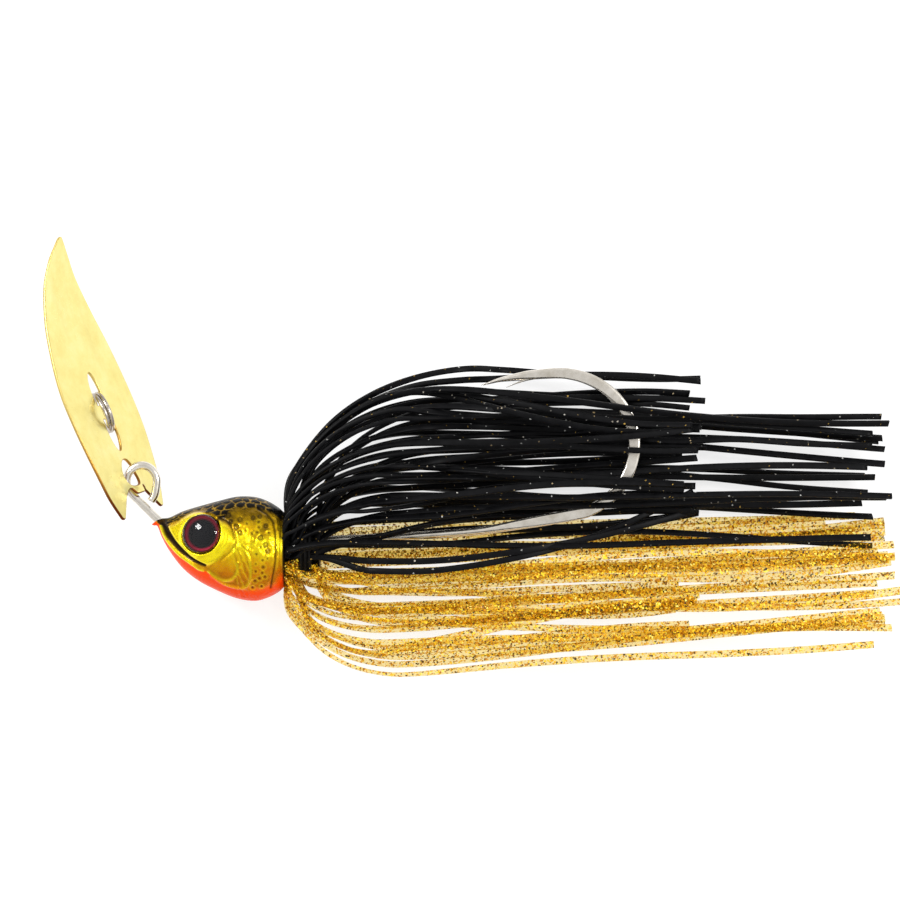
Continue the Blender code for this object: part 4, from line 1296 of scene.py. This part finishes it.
def make_camera():
    """A camera over the whole lure that looks straight down at it."""
    camera = bpy.data.cameras.new("camera")
    camera.lens = LENS
    camera.sensor_width = SENSOR
    distance = PICTURE_WIDTH * LENS / SENSOR * MM
    obj = bpy.data.objects.new("camera", camera)
    low, high = CAD_BOUNDS
    centre = (low + high) / 2
    obj.location = (
        centre.x + PICTURE_OFFSET[0] * MM,
        centre.y + PICTURE_OFFSET[1] * MM,
        EYE_OF_HOOK.z + distance,
    )
    camera.clip_start = 0.01
    camera.clip_end = 10.0
    bpy.context.scene.collection.objects.link(obj)
    bpy.context.scene.camera = obj


def make_floor():
    """White paper, lit evenly enough to photograph as white."""
    material, tree, shader, _ = new_material("paper")
    grain = noise_factor(tree, coordinates(tree), 60.0, 4.0)
    feed(tree, shader, {
        "Base Color": grey_ramp(tree, grain, [(0.3, 0.3), (0.7, 0.32)]),
        "Roughness": 0.9,
        "Emission Color": (1.0, 1.0, 1.0, 1.0),
        "Emission Strength": 0.75,
    })
    bpy.ops.mesh.primitive_plane_add(size=FLOOR_SIZE)
    floor = bpy.context.object
    floor.name = "floor"
    floor.data.materials.append(material)


def make_light(name, at, size, power):
    """A soft window, turned to the middle of the frame."""
    light = bpy.data.lights.new(name, "AREA")
    light.shape = "RECTANGLE"
    light.size, light.size_y = size
    light.energy = power
    obj = bpy.data.objects.new(name, light)
    obj.location = at
    obj.rotation_mode = "QUATERNION"
    obj.rotation_quaternion = (-Vector(at)).to_track_quat("-Z", "Y")
    bpy.context.scene.collection.objects.link(obj)


def make_studio():
    """A white tent, brighter overhead than at its sides, with two soft windows."""
    world = bpy.data.worlds.new("tent")
    bpy.context.scene.world = world
    world.use_nodes = True
    tree = world.node_tree
    tree.nodes.clear()
    heading = node(tree, "TexCoord").outputs["Generated"]
    height = node(tree, "SeparateXYZ", {"Vector": heading}).outputs["Z"]
    shade = grey_ramp(tree, height, [(0.0, 0.5), (0.15, 0.4), (0.35, 0.75), (0.8, 0.75), (0.97, 0.6)])
    sky = node(tree, "Background", {"Color": shade, "Strength": 1.1})
    node(tree, "OutputWorld", {"Surface": sky.outputs["Background"]})
    make_light("window_left", (-0.3, 0.22, 0.4), (0.12, 0.16), 1.5)
    make_light("window_right", (0.35, 0.1, 0.45), (0.12, 0.16), 1.4)
    bpy.context.scene.view_settings.view_transform = "Standard"


def main():
    nickel = nickel_material("satin_nickel", colour(242, 236, 226), colour(214, 206, 192), 0.2)
    make_camera()
    make_floor()
    make_studio()
    make_hook(nickel)
    make_barb(nickel)
    make_head(paint_and_shade_material())
    foil = iris_material()
    resin = resin_material()
    for side, label in ((1, "left"), (-1, "right")):
        make_eye(side, label, foil, resin)
    make_collar(rubber_material())
    make_blade(blade_material())
    make_ring(nickel_material("bright_nickel", colour(205, 196, 186), colour(150, 140, 130), 0.24))
    make_skirt("black", black_silicone_material(), 0.8, dip_count=2)
    make_skirt("gold", gold_silicone_material(), 0.6, tuck_count=8)


main()
